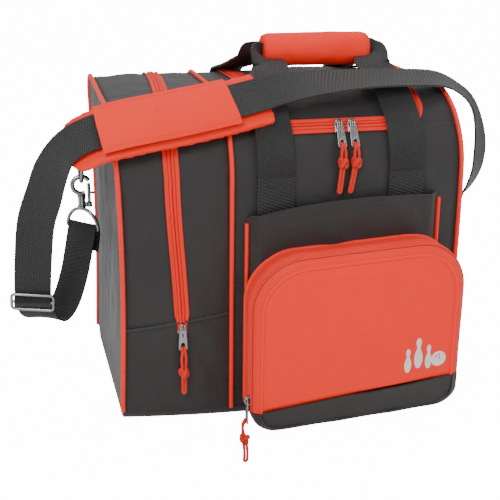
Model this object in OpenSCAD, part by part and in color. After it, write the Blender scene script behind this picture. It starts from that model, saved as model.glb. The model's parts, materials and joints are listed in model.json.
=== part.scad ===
// Single-ball bowling tote with a shoe compartment, a front pocket,
// a webbing carry handle and a padded shoulder strap.
// X runs to the right, Y to the back, Z up. The origin is on the floor,
// at the middle of the bag's base.

/* [Bag] */
// Overall width of the bag body
bag_w = 360; // [340:5:380]
// Front to back depth of the bag body
bag_d = 236; // [230:2:244]
// Height of the bag body
bag_h = 340; // [335:5:350]
// Padded wall thickness
wall = 5; // [4:0.5:6]
// Width of the shoe section at the left end
shoe_w = 116; // [110:2:124]

/* [Profile] */
// Radius of the front top edge
front_r = 75; // [70:1:80]
// Radius of the rear top edge
rear_r = 35; // [30:1:38]
// Radius of the bottom edges
foot_r = 12; // [10:1:14]
// Rise of the crowned lid
crown = 12; // [8:1:14]

/* [Webbing] */
// Width of the handle and strap webbing
web_w = 38; // [36:1:40]
// Thickness of the webbing
web_t = 2.4; // [2:0.2:3]
// Half distance between the two handle strands
strand_half = 69.5; // [66:0.5:72]
// Diameter of the handle grip
grip_d = 35; // [32:1:38]
// Length of the handle grip
grip_l = 118; // [110:2:124]

/* [Pocket] */
// Width of the accessory pocket
pocket_w = 223; // [215:1:225]
// Depth of the accessory pocket
pocket_d = 38; // [34:1:40]
// Top of the accessory pocket
pocket_top = 199; // [190:1:204]

/* [Ball] */
// Diameter of the ball that the bag carries
ball_d = 216; // [216:1:218]

/* [Hardware] */
// Wire diameter of the rings
ring_wire = 4; // [3.5:0.5:4.5]
// Inside width of the rings
ring_in = 38; // [36:1:40]
// Diameter of each strand of the pull cords
cord_d = 3; // [2.6:0.1:3]

/* [Hidden] */
$fn = 48;

black = "#34363a";
orange = "#f4603a";
nickel = "#b9bcc0";
foam = "#55585c";

gap = 0.3;                       // clearance between neighbouring soft pieces
hx = bag_w / 2;
hy = bag_d / 2;
split_x = -hx + shoe_w;          // seam between shoe and ball sections
fc = [-hy + front_r, bag_h - front_r];   // centre of the front top arc
rc = [hy - rear_r, bag_h - rear_r];      // centre of the rear top arc
end_in = hx - wall - 0.2;        // inner face of the end panels
zip_low = 30.5;                  // angles of the lid zip on the front arc
zip_high = 46;
hinge_y = 98;                    // lid hinge line
lid_x = [-23, 138];
shoe_seam = 118;                 // level seam of the shoe section
shoe_line = -122;                // closing line of the shoe zip
shoe_head = 262;                 // top of the shoe flap
handle_x = 50.5;                 // middle of the handle
sewn_top = 266;                  // where the handle webbing leaves the bag
slip_y = -hy - 12;               // front face of the slip panel
pocket_x = 60.5;                 // middle of the pocket
door_low = 36;
eye_z = 189;
ring_x = 203;
ring_z = 262;
grip_c = [-17.5, 378.5];

// --- side profile helpers, drawn in Y and Z -------------------------------

// Front line at an inset, from height z0 up round the front arc to an angle.
function front_line(i, z0, angle) = concat(
    [[-hy + i, z0]],
    [for (k = [0 : 12]) let (a = angle * k / 12)
        [fc.x - (front_r - i) * cos(a), fc.y + (front_r - i) * sin(a)]]);

// Rear arc at an inset, between two angles from the top.
function rear_arc(i, a0, a1) =
    [for (k = [0 : 8]) let (a = a0 + (a1 - a0) * k / 8)
        [rc.x + (rear_r - i) * sin(a), rc.y + (rear_r - i) * cos(a)]];

// Bottom edge at an inset, from the rear corner to the front corner.
function foot_line(i) = concat(
    [for (k = [0 : 4]) let (a = k * 22.5)
        [hy - foot_r + (foot_r - i) * cos(a), foot_r - (foot_r - i) * sin(a)]],
    [for (k = [0 : 4]) let (a = 90 - k * 22.5)
        [-hy + foot_r - (foot_r - i) * cos(a), foot_r - (foot_r - i) * sin(a)]]);

function outline(i) = concat(front_line(i, foot_r, 90), rear_arc(i, 0, 90), foot_line(i));

function backward(p) = [for (k = [len(p) - 1 : -1 : 0]) p[k]];

// A Y-Z polygon extruded from x0 to x1.
module across(x0, x1) {
    translate([x0, 0, 0]) rotate([90, 0, 90]) linear_extrude(x1 - x0) children();
}

// A wall panel between two lines of the profile.
module panel(outer, inner, x0, x1) {
    across(x0, x1) polygon(concat(outer, backward(inner)));
}

// --- swept webbing ----------------------------------------------------------

// Smooth curve through points, with n steps in each span.
function spline(p, n) = concat(
    [for (i = [0 : len(p) - 2], k = [0 : n - 1])
        let (t = k / n,
             a = p[max(i - 1, 0)], b = p[i], c = p[i + 1], d = p[min(i + 2, len(p) - 1)])
        0.5 * (2 * b + (c - a) * t + (2 * a - 5 * b + 4 * c - d) * t * t
            + (3 * b - a - 3 * c + d) * t * t * t)],
    [p[len(p) - 1]]);

function unit(v) = v / norm(v);
function heading(p, i) = unit(p[min(i + 1, len(p) - 1)] - p[max(i - 1, 0)]);

// A closed solid swept along centre points c, with width directions w. The width
// is one number, or a number at each point.
module ribbon(c, w, width, thick) {
    n = len(c);
    points = [for (i = [0 : n - 1])
        let (t = heading(c, i), s = unit(w[i] - (w[i] * t) * t), u = cross(t, s))
        for (q = [[-1, -1], [1, -1], [1, 1], [-1, 1]])
            c[i] + s * q.x * (is_list(width) ? width[i] : width) / 2 + u * q.y * thick / 2];
    sides = [for (i = [0 : n - 2], k = [0 : 3]) let (a = 4 * i + k, b = 4 * i + (k + 1) % 4)
        each [[a, b, b + 4], [a, b + 4, a + 4]]];
    ends = [[0, 2, 1], [0, 3, 2],
        [4 * n - 4, 4 * n - 3, 4 * n - 2], [4 * n - 4, 4 * n - 2, 4 * n - 1]];
    polyhedron(points, [for (f = concat(sides, ends)) [f[2], f[1], f[0]]], convexity = 8);
}

// A round cord swept along points, with eight sides.
module cord(c, diameter) {
    n = len(c);
    points = [for (i = [0 : n - 1])
        let (t = heading(c, i),
             s = unit(cross(t, abs(t.x) < 0.9 ? [1, 0, 0] : [0, 1, 0])), u = cross(t, s))
        for (k = [0 : 7]) c[i] + (s * cos(45 * k) + u * sin(45 * k)) * diameter / 2];
    sides = [for (i = [0 : n - 2], k = [0 : 7]) let (a = 8 * i + k, b = 8 * i + (k + 1) % 8)
        each [[a, b, b + 8], [a, b + 8, a + 8]]];
    ends = [for (k = [1 : 6]) each [[0, k + 1, k],
        [8 * n - 8, 8 * n - 8 + k, 8 * n - 7 + k]]];
    polyhedron(points, [for (f = concat(sides, ends)) [f[2], f[1], f[0]]], convexity = 8);
}

// --- bag body ---------------------------------------------------------------

module base_panel() {
    color(black) panel(foot_line(0), foot_line(wall), -end_in, end_in);
}

module base_board() {
    color(foam) translate([-end_in + 2, -hy + foot_r, wall + gap])
        cube([2 * end_in - 4, bag_d - 2 * foot_r, 3]);
}

module ball_cup() {
    base_z = wall + gap + 3.2;
    color(foam) translate([(end_in + split_x) / 2, 0, base_z]) difference() {
        cylinder(h = 34, r = 88);
        translate([0, 0, 6 + ball_d / 2]) sphere(d = ball_d + 2, $fn = 64);
    }
}

module front_panel() {
    color(black) panel(front_line(0, foot_r + gap, zip_low),
        front_line(wall, foot_r + gap, zip_low), split_x + 0.2, end_in);
}

module back_panel() {
    top = asin((hinge_y + 3 - rc.x) / rear_r);
    color(black) panel(concat(rear_arc(0, top, 90), [[hy, foot_r + gap]]),
        concat(rear_arc(wall, top, 90), [[hy - wall, foot_r + gap]]),
        split_x + 0.2, end_in);
}

module end_panel(x0) {
    across(x0, x0 + wall) polygon(outline(0));
}

module left_end_panel() { color(black) end_panel(-hx); }
module right_end_panel() { color(black) end_panel(hx - wall); }

module divider_panel() {
    i = wall + gap;
    color(black) across(split_x - 2.5, split_x + 2)
        polygon(concat(front_line(i, 9, 90), rear_arc(i, 0, 90), [[hy - i, 9]]));
}

// A fixed strip over the top, from the front panel to the back panel.
module top_strip(x0, x1) {
    top = asin((hinge_y + 3 - rc.x) / rear_r);
    function strip(i) = concat(
        [for (k = [0 : 10]) let (a = zip_low + 0.4 + (89.6 - zip_low) * k / 10)
            [fc.x - (front_r - i) * cos(a), fc.y + (front_r - i) * sin(a)]],
        rear_arc(i, 0, top - 1));
    panel(strip(0), strip(wall), x0, x1);
}

module top_strip_left() { color(black) top_strip(split_x + 0.2, lid_x[0] - 4); }
module top_strip_right() { color(black) top_strip(lid_x[1] + 4, end_in); }

// Line of the crowned lid at an inset, from the zip to the hinge.
function lid_line(i, a0) = concat(
    [for (k = [0 : 8]) let (a = a0 + (90 - a0) * k / 8)
        [fc.x - (front_r - i) * cos(a), fc.y + (front_r - i) * sin(a)]],
    [for (k = [1 : 10]) let (t = k / 10)
        [fc.x + (hinge_y - 4 - fc.x) * t,
            bag_h - i - 3 * t * t * t + crown * sin(180 * t) * sin(180 * t)]]);

module lid() {
    color(black) panel(lid_line(0, zip_high + 0.3), lid_line(wall, zip_high + 0.3),
        lid_x[0], lid_x[1]);
}

// Both halves of a zip band that follows the front arc.
module zip_band(a0, a1, x0, x1) {
    function band(r) = [for (k = [0 : 5]) let (a = a0 + (a1 - a0) * k / 5)
        [fc.x - r * cos(a), fc.y + r * sin(a)]];
    panel(band(front_r), band(front_r - 3), x0, x1);
}

module lid_zip() {
    color(orange) zip_band(zip_low + 0.4, zip_high, lid_x[0], lid_x[1]);
}

// --- shoe section -----------------------------------------------------------

module shoe_front_lower() {
    color(black) translate([-end_in, -hy, foot_r + gap])
        cube([shoe_w - wall - 0.4, wall, shoe_seam - foot_r - gap - 0.2]);
}

module shoe_front_right() {
    color(black) translate([shoe_line + 10.2, -hy, shoe_seam])
        cube([split_x - shoe_line - 10.4, wall, shoe_head - shoe_seam]);
}

module shoe_zip() {
    color(orange) translate([shoe_line + gap, -hy, shoe_seam])
        cube([9.7, 3, shoe_head - shoe_seam]);
}

module shoe_top() {
    color(black) panel(
        concat(front_line(0, shoe_head + gap, 90), rear_arc(0, 0, 90)),
        concat(front_line(wall, shoe_head + gap, 90), rear_arc(wall, 0, 90)),
        -end_in, split_x - 0.2);
}

module shoe_back() {
    color(black) translate([-end_in, hy - wall, foot_r + gap])
        cube([shoe_w - wall - 0.4, wall, rc.y - foot_r - 2 * gap]);
}

module shoe_flap() {
    color(black) translate([-end_in + 1.5, -hy, shoe_seam + 0.5])
        cube([end_in + shoe_line - 1.9, wall, shoe_head - shoe_seam - 0.8]);
}

// --- piping -----------------------------------------------------------------

// Welt along the front, top and back edges of one seam.
module piping(x) {
    function welt(i) = concat(front_line(i, foot_r + 2, 90), rear_arc(i, 0, 90),
        [[hy - i, foot_r + 2]]);
    color(orange) panel(welt(-4), welt(-0.3), x - 2.2, x + 2.2);
}

module piping_left() { piping(-hx + 2.4); }
module piping_split() { piping(split_x); }
module piping_right() { piping(hx - 2.4); }

// --- slip pocket and accessory pocket ---------------------------------------

slip_x = [-49, 156];
slip_z = [14, 236];

module slip_panel() {
    color(black) difference() {
        translate([slip_x[0], slip_y, slip_z[0]])
            cube([slip_x[1] - slip_x[0], -hy - gap - slip_y, slip_z[1] - slip_z[0]]);
        translate([slip_x[0] + 2.5, slip_y + 3, slip_z[0] + 2.5])
            cube([slip_x[1] - slip_x[0] - 5, 20, slip_z[1]]);
    }
}

module slip_piping() {
    color(orange) for (x = slip_x)
        translate([x + (x < 0 ? -3.2 : 0.2), slip_y + 1, 171]) cube([3, 5, 58]);
}

// Rounded outline of the pocket, drawn in X and Z.
module pocket_outline(i) {
    w = pocket_w / 2 - i;
    top_r = 50 - i;
    low_r = 22 - i / 2;
    translate([pocket_x, 0]) union() {
        for (s = [-1, 1]) {
            translate([s * (w - top_r), pocket_top - i - top_r]) circle(top_r, $fn = 72);
            translate([s * (w - low_r), 6 + i + low_r]) circle(low_r, $fn = 72);
        }
        translate([-w + top_r, 6 + i]) square([2 * (w - top_r), pocket_top - 6 - 2 * i]);
        translate([-w + low_r, 6 + i]) square([2 * (w - low_r), 2 * low_r]);
        translate([-w, 6 + i + low_r])
            square([2 * w, pocket_top - 6 - 2 * i - low_r - top_r]);
    }
}

// An X-Z outline extruded from y0 back to y1.
module along(y0, y1) {
    translate([0, y1, 0]) rotate([90, 0, 0]) linear_extrude(y1 - y0) children();
}

module base_area() {
    polygon([[-100, 0], [220, 0], [220, 50], [-100, 20]]);
}

pocket_y = slip_y - gap - pocket_d;

module pocket_gusset() {
    color(orange) along(pocket_y, slip_y - gap) difference() {
        pocket_outline(0);
        pocket_outline(4);
        offset(delta = 0.3) base_area();
    }
}

module pocket_base() {
    color(black) {
        along(pocket_y, slip_y - gap) intersection() {
            difference() { pocket_outline(0); pocket_outline(4); }
            base_area();
        }
        along(pocket_y - 3, pocket_y) intersection() {
            pocket_outline(0);
            translate([-100, 0]) square([320, door_low - 3]);
        }
    }
}

module pocket_door() {
    color(orange) along(pocket_y - 4, pocket_y - gap) intersection() {
        pocket_outline(6);
        translate([-100, door_low + 1]) square([320, 200]);
    }
}

// --- webbing and handle -----------------------------------------------------

module webbing_front() {
    color(black) for (s = [-1, 1])
        translate([handle_x + s * strand_half - web_w / 2, -hy - gap - web_t, 18])
            cube([web_w, web_t, sewn_top - 18 - gap]);
}

module webbing_rear() {
    color(black) for (s = [-1, 1])
        translate([handle_x + s * strand_half - web_w / 2, hy + gap, 18])
            cube([web_w, web_t, sewn_top - 18 - gap]);
}

// One strand of a handle: up from the sewn end, over the bag's edge, to the grip.
module strand(side, dir) {
    arc_c = dir < 0 ? fc : rc;
    radius = (dir < 0 ? front_r : rear_r) + 4.5;
    leave = dir < 0 ? 50 : 86;
    far = [dir * 8.5, 1.5];
    path = concat(
        [[dir * (hy + gap + web_t / 2), sewn_top], [dir * (hy + 1.8), sewn_top + 8],
            [arc_c.x + dir * radius, dir < 0 ? sewn_top + 16 : arc_c.y]],
        [for (k = [2 : 6]) let (a = leave * k / 6)
            [arc_c.x + dir * radius * cos(a), arc_c.y + radius * sin(a)]],
        dir < 0 ? [[-66, 350], [-44, 367]] : [[50, 353], [22, 366]],
        [grip_c + far]);
    n = len(path) - 1;
    lean = grip_l / 2 + 14;
    first = n - 3;
    c = [for (i = [0 : n]) let (t = max(0, i - first) / (n - first), e = t * t * (3 - 2 * t))
        [handle_x + side * (strand_half * (1 - e) + lean * e), path[i].x, path[i].y]];
    w = [for (i = [0 : n]) let (t = max(0, i - first) / (n - first))
        [1, 0, side * 0.9 * t]];
    wide = [for (i = [0 : n]) let (t = max(0, i - first) / (n - first))
        web_w * (1 - t) + 16 * t];
    ribbon(c, w, wide, web_t);
}

module handle_front() { color(black) for (s = [-1, 1]) strand(s, -1); }
module handle_rear() { color(black) for (s = [-1, 1]) strand(s, 1); }

// Half of the padded grip, split on an upright plane.
module grip_half(dir) {
    color(orange) translate([handle_x - grip_l / 2, grip_c.x, grip_c.y])
        rotate([0, 90, 0]) difference() {
            cylinder(h = grip_l, d = grip_d);
            translate([-grip_d, dir < 0 ? -gap / 2 : -2 * grip_d + gap / 2, -1])
                cube([2 * grip_d, 2 * grip_d, grip_l + 2]);
        }
}

module grip_front() { grip_half(-1); }
module grip_rear() { grip_half(1); }

// --- zip sliders, tabs and pull cords ---------------------------------------

// A slider body with a bail; the tab pivots on the bar at the origin.
module slider() {
    color(nickel) {
        translate([-5, 2.2, -9]) cube([10, 3.4, 13]);
        for (s = [-1, 1]) translate([s * 3.4 - 0.8, -1.6, -1.6]) cube([1.6, 4, 3.2]);
        translate([-3, 0, 0]) rotate([0, 90, 0]) cylinder(h = 6, r = 0.9);
    }
}

tab_l = 22;

// A pull tab hanging down from its bar, with a hole for the cord.
module tab() {
    color(nickel) difference() {
        union() {
            rotate([0, 90, 0]) translate([0, 0, -2]) cylinder(h = 4, r = 2);
            translate([-2, -0.8, -5]) cube([4, 1.6, 4]);
            translate([-4, -0.8, -tab_l - 4]) cube([8, 1.6, tab_l]);
        }
        rotate([0, 90, 0]) translate([0, 0, -3]) cylinder(h = 6, r = 1.2);
        translate([0, 2, -tab_l]) rotate([90, 0, 0]) cylinder(h = 4, r = 2.7);
    }
}

lid_bar = [0, -106.9, 315.5];
lid_pulls = [51, 65];
lid_tilt = 30;
shoe_bar = [shoe_line + 5.6, -hy - 6, 114];
pocket_bar = [pocket_x - pocket_w / 2 - 6, -160, 41];

module place_lid(x) { translate([x, lid_bar.y, lid_bar.z]) children(); }
module place_shoe() { translate(shoe_bar) children(); }
module place_pocket() { translate(pocket_bar) rotate([0, 0, -90]) children(); }

module lid_slider() { rotate([-36, 0, 0]) slider(); }
module slider_lid_left() { place_lid(lid_pulls[0]) lid_slider(); }
module slider_lid_right() { place_lid(lid_pulls[1]) lid_slider(); }
module slider_shoe() { place_shoe() slider(); }
module slider_pocket() { place_pocket() slider(); }

module tab_lid_left() { place_lid(lid_pulls[0]) rotate([-lid_tilt, 0, 0]) tab(); }
module tab_lid_right() { place_lid(lid_pulls[1]) rotate([-lid_tilt, 0, 0]) tab(); }
module tab_shoe() { place_shoe() tab(); }
module tab_pocket() { place_pocket() tab(); }

// Routes of the two strands of each pull cord, from the tab hole to the knot.
lid_cord = [[0, -121, 296.6], [0, -122.4, 293], [0.5, -123.6, 287], [0.1, -124, 280],
    [0.1, -124.2, 273], [0.7, -124.4, 264], [0.4, -124.8, 256], [0, -125.2, 249]];
shoe_cord = [[0, -126.6, 91.5], [0.2, -127.6, 87], [0.5, -128, 80], [0.1, -128, 73],
    [0.1, -127.8, 66], [0.6, -127.6, 57], [0.4, -127.4, 49], [0, -127.2, 42]];
pocket_cord = [[-59.8, -160, 18.5], [-61.4, -160.6, 14], [-62, -164, 7.5], [-62.6, -172, 3.2],
    [-64, -182, 2], [-65.8, -192, 2], [-68, -201, 2], [-70.6, -210, 2]];

module pull_cord(x, route) {
    color(orange) for (s = [-1, 1])
        cord(spline([for (p = route) [x + s * (p.x + 1.55), p.y, p.z]], 2), cord_d);
}

module cord_lid_left() { pull_cord(lid_pulls[0], lid_cord); }
module cord_lid_right() { pull_cord(lid_pulls[1], lid_cord); }
module cord_shoe() { pull_cord(shoe_bar.x, shoe_cord); }

module cord_pocket() {
    color(orange) for (s = [-1, 1])
        cord(spline([for (p = pocket_cord) let (t = min(1, max(0, -160 - p.y) / 10))
            p + [s * 1.55 * t, s * 1.55 * (1 - t), 0]], 2), cord_d);
}

// --- rings, hooks and eyes --------------------------------------------------

module on_side(side) { mirror([side > 0 ? 0 : 1, 0, 0]) children(); }

// Fabric tab that holds a ring's bar, sewn flat on the end panel.
module ring_tab() {
    color(black) difference() {
        union() {
            translate([hx + gap, -15, ring_z + 6]) cube([2.6, 30, 34]);
            translate([ring_x, 15, ring_z]) rotate([90, 0, 0]) cylinder(h = 30, r = 4.2);
            translate([0, 15, 0]) rotate([90, 0, 0]) linear_extrude(30)
                polygon([[hx + gap, ring_z + 6], [ring_x - 2, ring_z - 3.7],
                    [ring_x + 1, ring_z + 4], [hx + 3, ring_z + 14], [hx + gap, ring_z + 14]]);
        }
        translate([ring_x, 20, ring_z]) rotate([90, 0, 0]) cylinder(h = 40, r = 2.3);
    }
}

module ring_tab_left() { on_side(-1) ring_tab(); }
module ring_tab_right() { on_side(1) ring_tab(); }

// A D shaped ring with its bar along Y and its bow below.
module dee() {
    r = (ring_in + ring_wire) / 2;
    color(nickel) {
        translate([0, r, 0]) rotate([90, 0, 0]) cylinder(h = 2 * r, d = ring_wire);
        rotate([0, 90, 0]) rotate([0, 0, -90]) rotate_extrude(angle = 180, $fn = 64)
            translate([r, 0]) circle(d = ring_wire);
        for (s = [-1, 1]) translate([0, s * r, 0]) sphere(d = ring_wire);
    }
}

module ring_left() { on_side(-1) translate([ring_x, 0, ring_z]) dee(); }
module ring_right() { on_side(1) translate([ring_x, 0, ring_z]) dee(); }

hook_r = 9.4;
hook_wire = 5;
hook_z = ring_z - (ring_in + ring_wire) / 2 + ring_wire / 2 + 0.4 - hook_r + hook_wire / 2;

bolt_x = -8.1;                   // the sliding bolt closes the mouth on the bag's side
bolt_d = 3.8;

// Bolt snap hook: an open loop facing the bag, a barrel, and a guide for the bolt.
module hook() {
    color(nickel) translate([ring_x, 0, hook_z]) difference() {
        union() {
            rotate([90, 0, 0]) rotate([0, 0, -115]) rotate_extrude(angle = 265, $fn = 64)
                translate([hook_r, 0]) circle(d = hook_wire);
            translate([0, 0, -24.5]) cylinder(h = 16.5, d = 8.5);
            translate([bolt_x, 0, -24.5]) cylinder(h = 5, d = 6.6);
            translate([bolt_x, -2, -24.5]) cube([-bolt_x, 4, 5]);
        }
        translate([bolt_x, 0, -30]) cylinder(h = 20, d = bolt_d + 0.4);
    }
}

module hook_left() { on_side(-1) hook(); }
module hook_right() { on_side(1) hook(); }

// Sprung bolt with its thumb stud.
module bolt() {
    color(nickel) translate([ring_x + bolt_x, 0, hook_z]) {
        translate([0, 0, -23]) cylinder(h = 24.6, d = bolt_d);
        translate([0, 0, -9]) rotate([0, -90, 0]) cylinder(h = 5.5, d = 2.8);
    }
}

module bolt_left() { on_side(-1) bolt(); }
module bolt_right() { on_side(1) bolt(); }

// The eye swivels under the barrel; turn is how far it stands round from the bag's side.
module eye(turn) {
    color(nickel) translate([ring_x, 0, eye_z]) rotate([0, 0, turn]) mirror([0, 0, 1]) dee();
}

module eye_left() { on_side(-1) eye(-45); }
module eye_right() { on_side(1) eye(0); }

// --- shoulder strap ---------------------------------------------------------

// Route of the strap from the right eye over the front of the top, down the
// left side to the adjuster; each entry is a place and a width direction.
strap_route = [
    [[206, 0, 193], [0.2, 0.98, 0]],
    [[222, 0, 190], [0.4, 0.92, 0]],
    [[246, -1, 198], [0.6, 0.8, 0]],
    [[262, -3, 226], [0.7, 0.72, 0]],
    [[262, -8, 258], [0.7, 0.7, 0.2]],
    [[250, -18, 294], [0.5, 0.8, 0.3]],
    [[226, -34, 326], [0.3, 0.9, 0.3]],
    [[184, -55, 350], [0.1, 0.86, 0.45]],
    [[130, -70, 357], [0, 0.8, 0.6]],
    [[80, -76, 358], [0, 0.78, 0.62]],
    [[30, -82, 355], [0, 0.76, 0.65]],
    [[-6, -89, 350], [0, 0.74, 0.67]],
    [[-30, -95, 346], [0, 0.73, 0.68]],
    [[-60, -102, 341], [0, 0.72, 0.7]],
    [[-110, -110, 334], [0, 0.7, 0.72]],
    [[-160, -114, 327], [0, 0.7, 0.72]],
    [[-200, -112, 318], [0, 0.7, 0.72]],
    [[-225, -105, 303], [-0.3, 0.72, 0.62]],
    [[-239, -94, 278], [-0.7, 0.6, 0.3]],
    [[-247, -82, 250], [-0.85, 0.5, 0.1]],
    [[-256, -68, 216], [-0.95, 0.3, 0]],
    [[-260.5, -59, 172], [-0.98, 0.2, 0]],
    [[-263.7, -49.6, 123], [-0.98, 0.2, 0]]];

// The loop that returns from the adjuster, under the run, up to the left eye.
loop_route = [
    [[-262.4, -43.2, 127], [-0.98, 0.2, 0]],
    [[-261, -41, 114], [-0.98, 0.2, 0]],
    [[-253, -34, 101], [-0.92, 0.4, 0]],
    [[-240, -24, 97], [-0.8, 0.6, 0]],
    [[-226, -14, 110], [-0.7, 0.71, 0]],
    [[-215, -7, 138], [-0.68, 0.73, 0]],
    [[-209, -3, 168], [-0.69, 0.72, 0]],
    [[-206, -1, 184], [-0.7, 0.71, 0]]];

function places(route, n) = spline([for (r = route) r[0]], n);
function turns(route, n) = spline([for (r = route) r[1]], n);

pad_first = 12;                  // entries of the strap route under the pad
pad_last = 17;
function pad_part(route, skip = 0) = [for (i = [pad_first + skip : pad_last]) route[i]];

// The strap leaves a hollow in the pad, which wraps it.
module strap() {
    color(black) ribbon(places(strap_route, 3), turns(strap_route, 3), web_w, 2);
}

module strap_loop() {
    color(black) ribbon(places(loop_route, 3), turns(loop_route, 3), web_w, 2);
}

// Three-bar slide at the end of the run: a plate with two slots.
module adjuster() {
    color(nickel) translate([-263, -46, 124]) rotate([0, 6, -12]) difference() {
        translate([-24, -2, -10]) cube([48, 3, 20]);
        for (z = [-7.4, 1.4]) translate([-20.5, -3, z]) cube([41, 5, 6]);
    }
}

// Base pad under the strap, with rounded ends.
module shoulder_pad() {
    c = places(pad_part(strap_route), 3);
    w = turns(pad_part(strap_route), 3);
    n = len(c);
    down = [for (i = [0 : n - 1]) unit(cross(heading(c, i), w[i]))];
    color(orange) ribbon([for (i = [0 : n - 1]) c[i] + down[i] * 5.8], w, 62, 7);
}

// Sleeve over the strap that keeps the pad in place.
module pad_sleeve() {
    c = places(pad_part(strap_route, 1), 3);
    w = turns(pad_part(strap_route, 1), 3);
    n = len(c) - 2;
    down = [for (i = [0 : n - 1]) unit(cross(heading(c, i), w[i]))];
    color(orange) ribbon([for (i = [0 : n - 1]) c[i] - down[i] * 3.4], w, 50, 3);
}

base_panel();
base_board();
ball_cup();
front_panel();
back_panel();
left_end_panel();
right_end_panel();
divider_panel();
top_strip_left();
top_strip_right();
lid();
lid_zip();
shoe_front_lower();
shoe_front_right();
shoe_top();
shoe_back();
shoe_zip();
shoe_flap();
piping_left();
piping_split();
piping_right();
slip_panel();
slip_piping();
pocket_gusset();
pocket_base();
pocket_door();
webbing_front();
webbing_rear();
handle_front();
handle_rear();
grip_front();
grip_rear();
slider_lid_left();
slider_lid_right();
slider_shoe();
slider_pocket();
tab_lid_left();
tab_lid_right();
tab_shoe();
tab_pocket();
cord_lid_left();
cord_lid_right();
cord_shoe();
cord_pocket();
ring_tab_left();
ring_tab_right();
ring_left();
ring_right();
hook_left();
hook_right();
bolt_left();
bolt_right();
eye_left();
eye_right();
strap();
strap_loop();
adjuster();
shoulder_pad();
pad_sleeve();
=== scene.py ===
"""Single-ball bowling tote: soft shell, zips, webbing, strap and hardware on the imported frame."""

import json
import logging
import math
from collections.abc import Callable, Sequence
from dataclasses import dataclass, field
from enum import Enum

import bpy
from mathutils import Matrix, Vector, noise

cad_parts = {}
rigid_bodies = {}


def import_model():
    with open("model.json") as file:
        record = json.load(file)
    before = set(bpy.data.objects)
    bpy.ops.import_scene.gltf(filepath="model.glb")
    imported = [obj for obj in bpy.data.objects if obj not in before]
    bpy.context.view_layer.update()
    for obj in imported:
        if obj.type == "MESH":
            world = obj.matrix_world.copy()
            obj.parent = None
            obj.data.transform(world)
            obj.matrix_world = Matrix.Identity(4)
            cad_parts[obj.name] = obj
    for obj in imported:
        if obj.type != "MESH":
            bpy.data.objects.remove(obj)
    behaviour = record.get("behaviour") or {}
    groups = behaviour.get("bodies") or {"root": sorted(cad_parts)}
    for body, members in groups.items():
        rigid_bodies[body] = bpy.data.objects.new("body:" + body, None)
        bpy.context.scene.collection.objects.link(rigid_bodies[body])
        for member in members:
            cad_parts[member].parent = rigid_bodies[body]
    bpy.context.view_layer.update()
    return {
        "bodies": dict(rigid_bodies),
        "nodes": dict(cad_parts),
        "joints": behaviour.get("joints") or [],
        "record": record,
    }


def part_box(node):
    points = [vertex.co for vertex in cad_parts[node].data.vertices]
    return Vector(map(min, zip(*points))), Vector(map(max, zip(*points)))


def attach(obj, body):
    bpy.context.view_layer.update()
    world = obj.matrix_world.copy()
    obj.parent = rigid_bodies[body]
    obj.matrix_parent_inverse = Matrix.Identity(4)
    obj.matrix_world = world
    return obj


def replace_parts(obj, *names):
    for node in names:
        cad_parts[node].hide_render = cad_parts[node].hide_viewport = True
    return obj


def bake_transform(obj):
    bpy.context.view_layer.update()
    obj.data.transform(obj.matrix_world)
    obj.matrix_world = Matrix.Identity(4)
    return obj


log = logging.getLogger("bowling_bag")
MM = 0.001
Place = Callable[[float, float], Vector]
Outline = Sequence[tuple[float, float]]
Route = list[tuple[tuple[float, float, float], tuple[float, float, float]]]
Frame = dict


class Slot(Enum):
    """Names of the record's material slots."""

    BLACK = "black_fabric"
    ORANGE = "orange_fabric"
    PADDING = "orange_padding"
    TRIM = "orange_trim"
    WEBBING = "webbing"
    CORD = "pull_cord"
    NICKEL = "nickel"
    FOAM = "inner_foam"


# ---------------------------------------------------------------------------
# Small numbers
# ---------------------------------------------------------------------------


def clamp(value: float, low: float = 0.0, high: float = 1.0) -> float:
    """Keep a value between two limits."""
    return max(low, min(high, value))


def smooth(value: float, low: float, high: float) -> float:
    """Rise smoothly from 0 at low to 1 at high."""
    t = clamp((value - low) / (high - low))
    return t * t * (3 - 2 * t)


def hump(value: float, low: float, high: float) -> float:
    """Half a sine wave between two limits, and nothing outside them."""
    return math.sin(math.pi * clamp((value - low) / (high - low)))


def mix(a: Vector, b: Vector, t: float) -> Vector:
    """Point between two points."""
    return a + (b - a) * t


def catmull(points: Sequence[Sequence[float]], steps: int) -> list[Vector]:
    """Smooth curve through points.

    Args:
        points: Points that the curve passes through.
        steps: How many short spans replace each long one.

    Returns:
        Points along the curve, both ends among them.
    """
    p = [Vector(q) for q in points]
    last = len(p) - 1
    found = []
    for i in range(last):
        a, b, c, d = p[max(i - 1, 0)], p[i], p[i + 1], p[min(i + 2, last)]
        for k in range(steps):
            t = k / steps
            found.append(
                0.5 * (2 * b + (c - a) * t + (2 * a - 5 * b + 4 * c - d) * t**2
                       + (3 * b - a - 3 * c + d) * t**3)
            )
    return [*found, p[last]]


def quarter(steps: int) -> list[float]:
    """Angles from 0 to a right angle, in radians."""
    return [math.radians(90 * k / steps) for k in range(steps + 1)]


def ellipse(x: float, z: float, across: float, tall: float, count: int
            ) -> list[tuple[float, float]]:
    """Outline of an ellipse about a middle, by its half widths."""
    return [(x + across * math.cos(math.tau * k / count), z + tall * math.sin(math.tau * k / count))
            for k in range(count)]


def length_of(points: Sequence[Vector]) -> float:
    """Length of a line of points."""
    return sum((b - a).length for a, b in zip(points, points[1:]))


def stations(points: Sequence[Vector]) -> list[float]:
    """Distance of each point along its line."""
    found = [0.0]
    for a, b in zip(points, points[1:]):
        found.append(found[-1] + (b - a).length)
    return found


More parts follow.
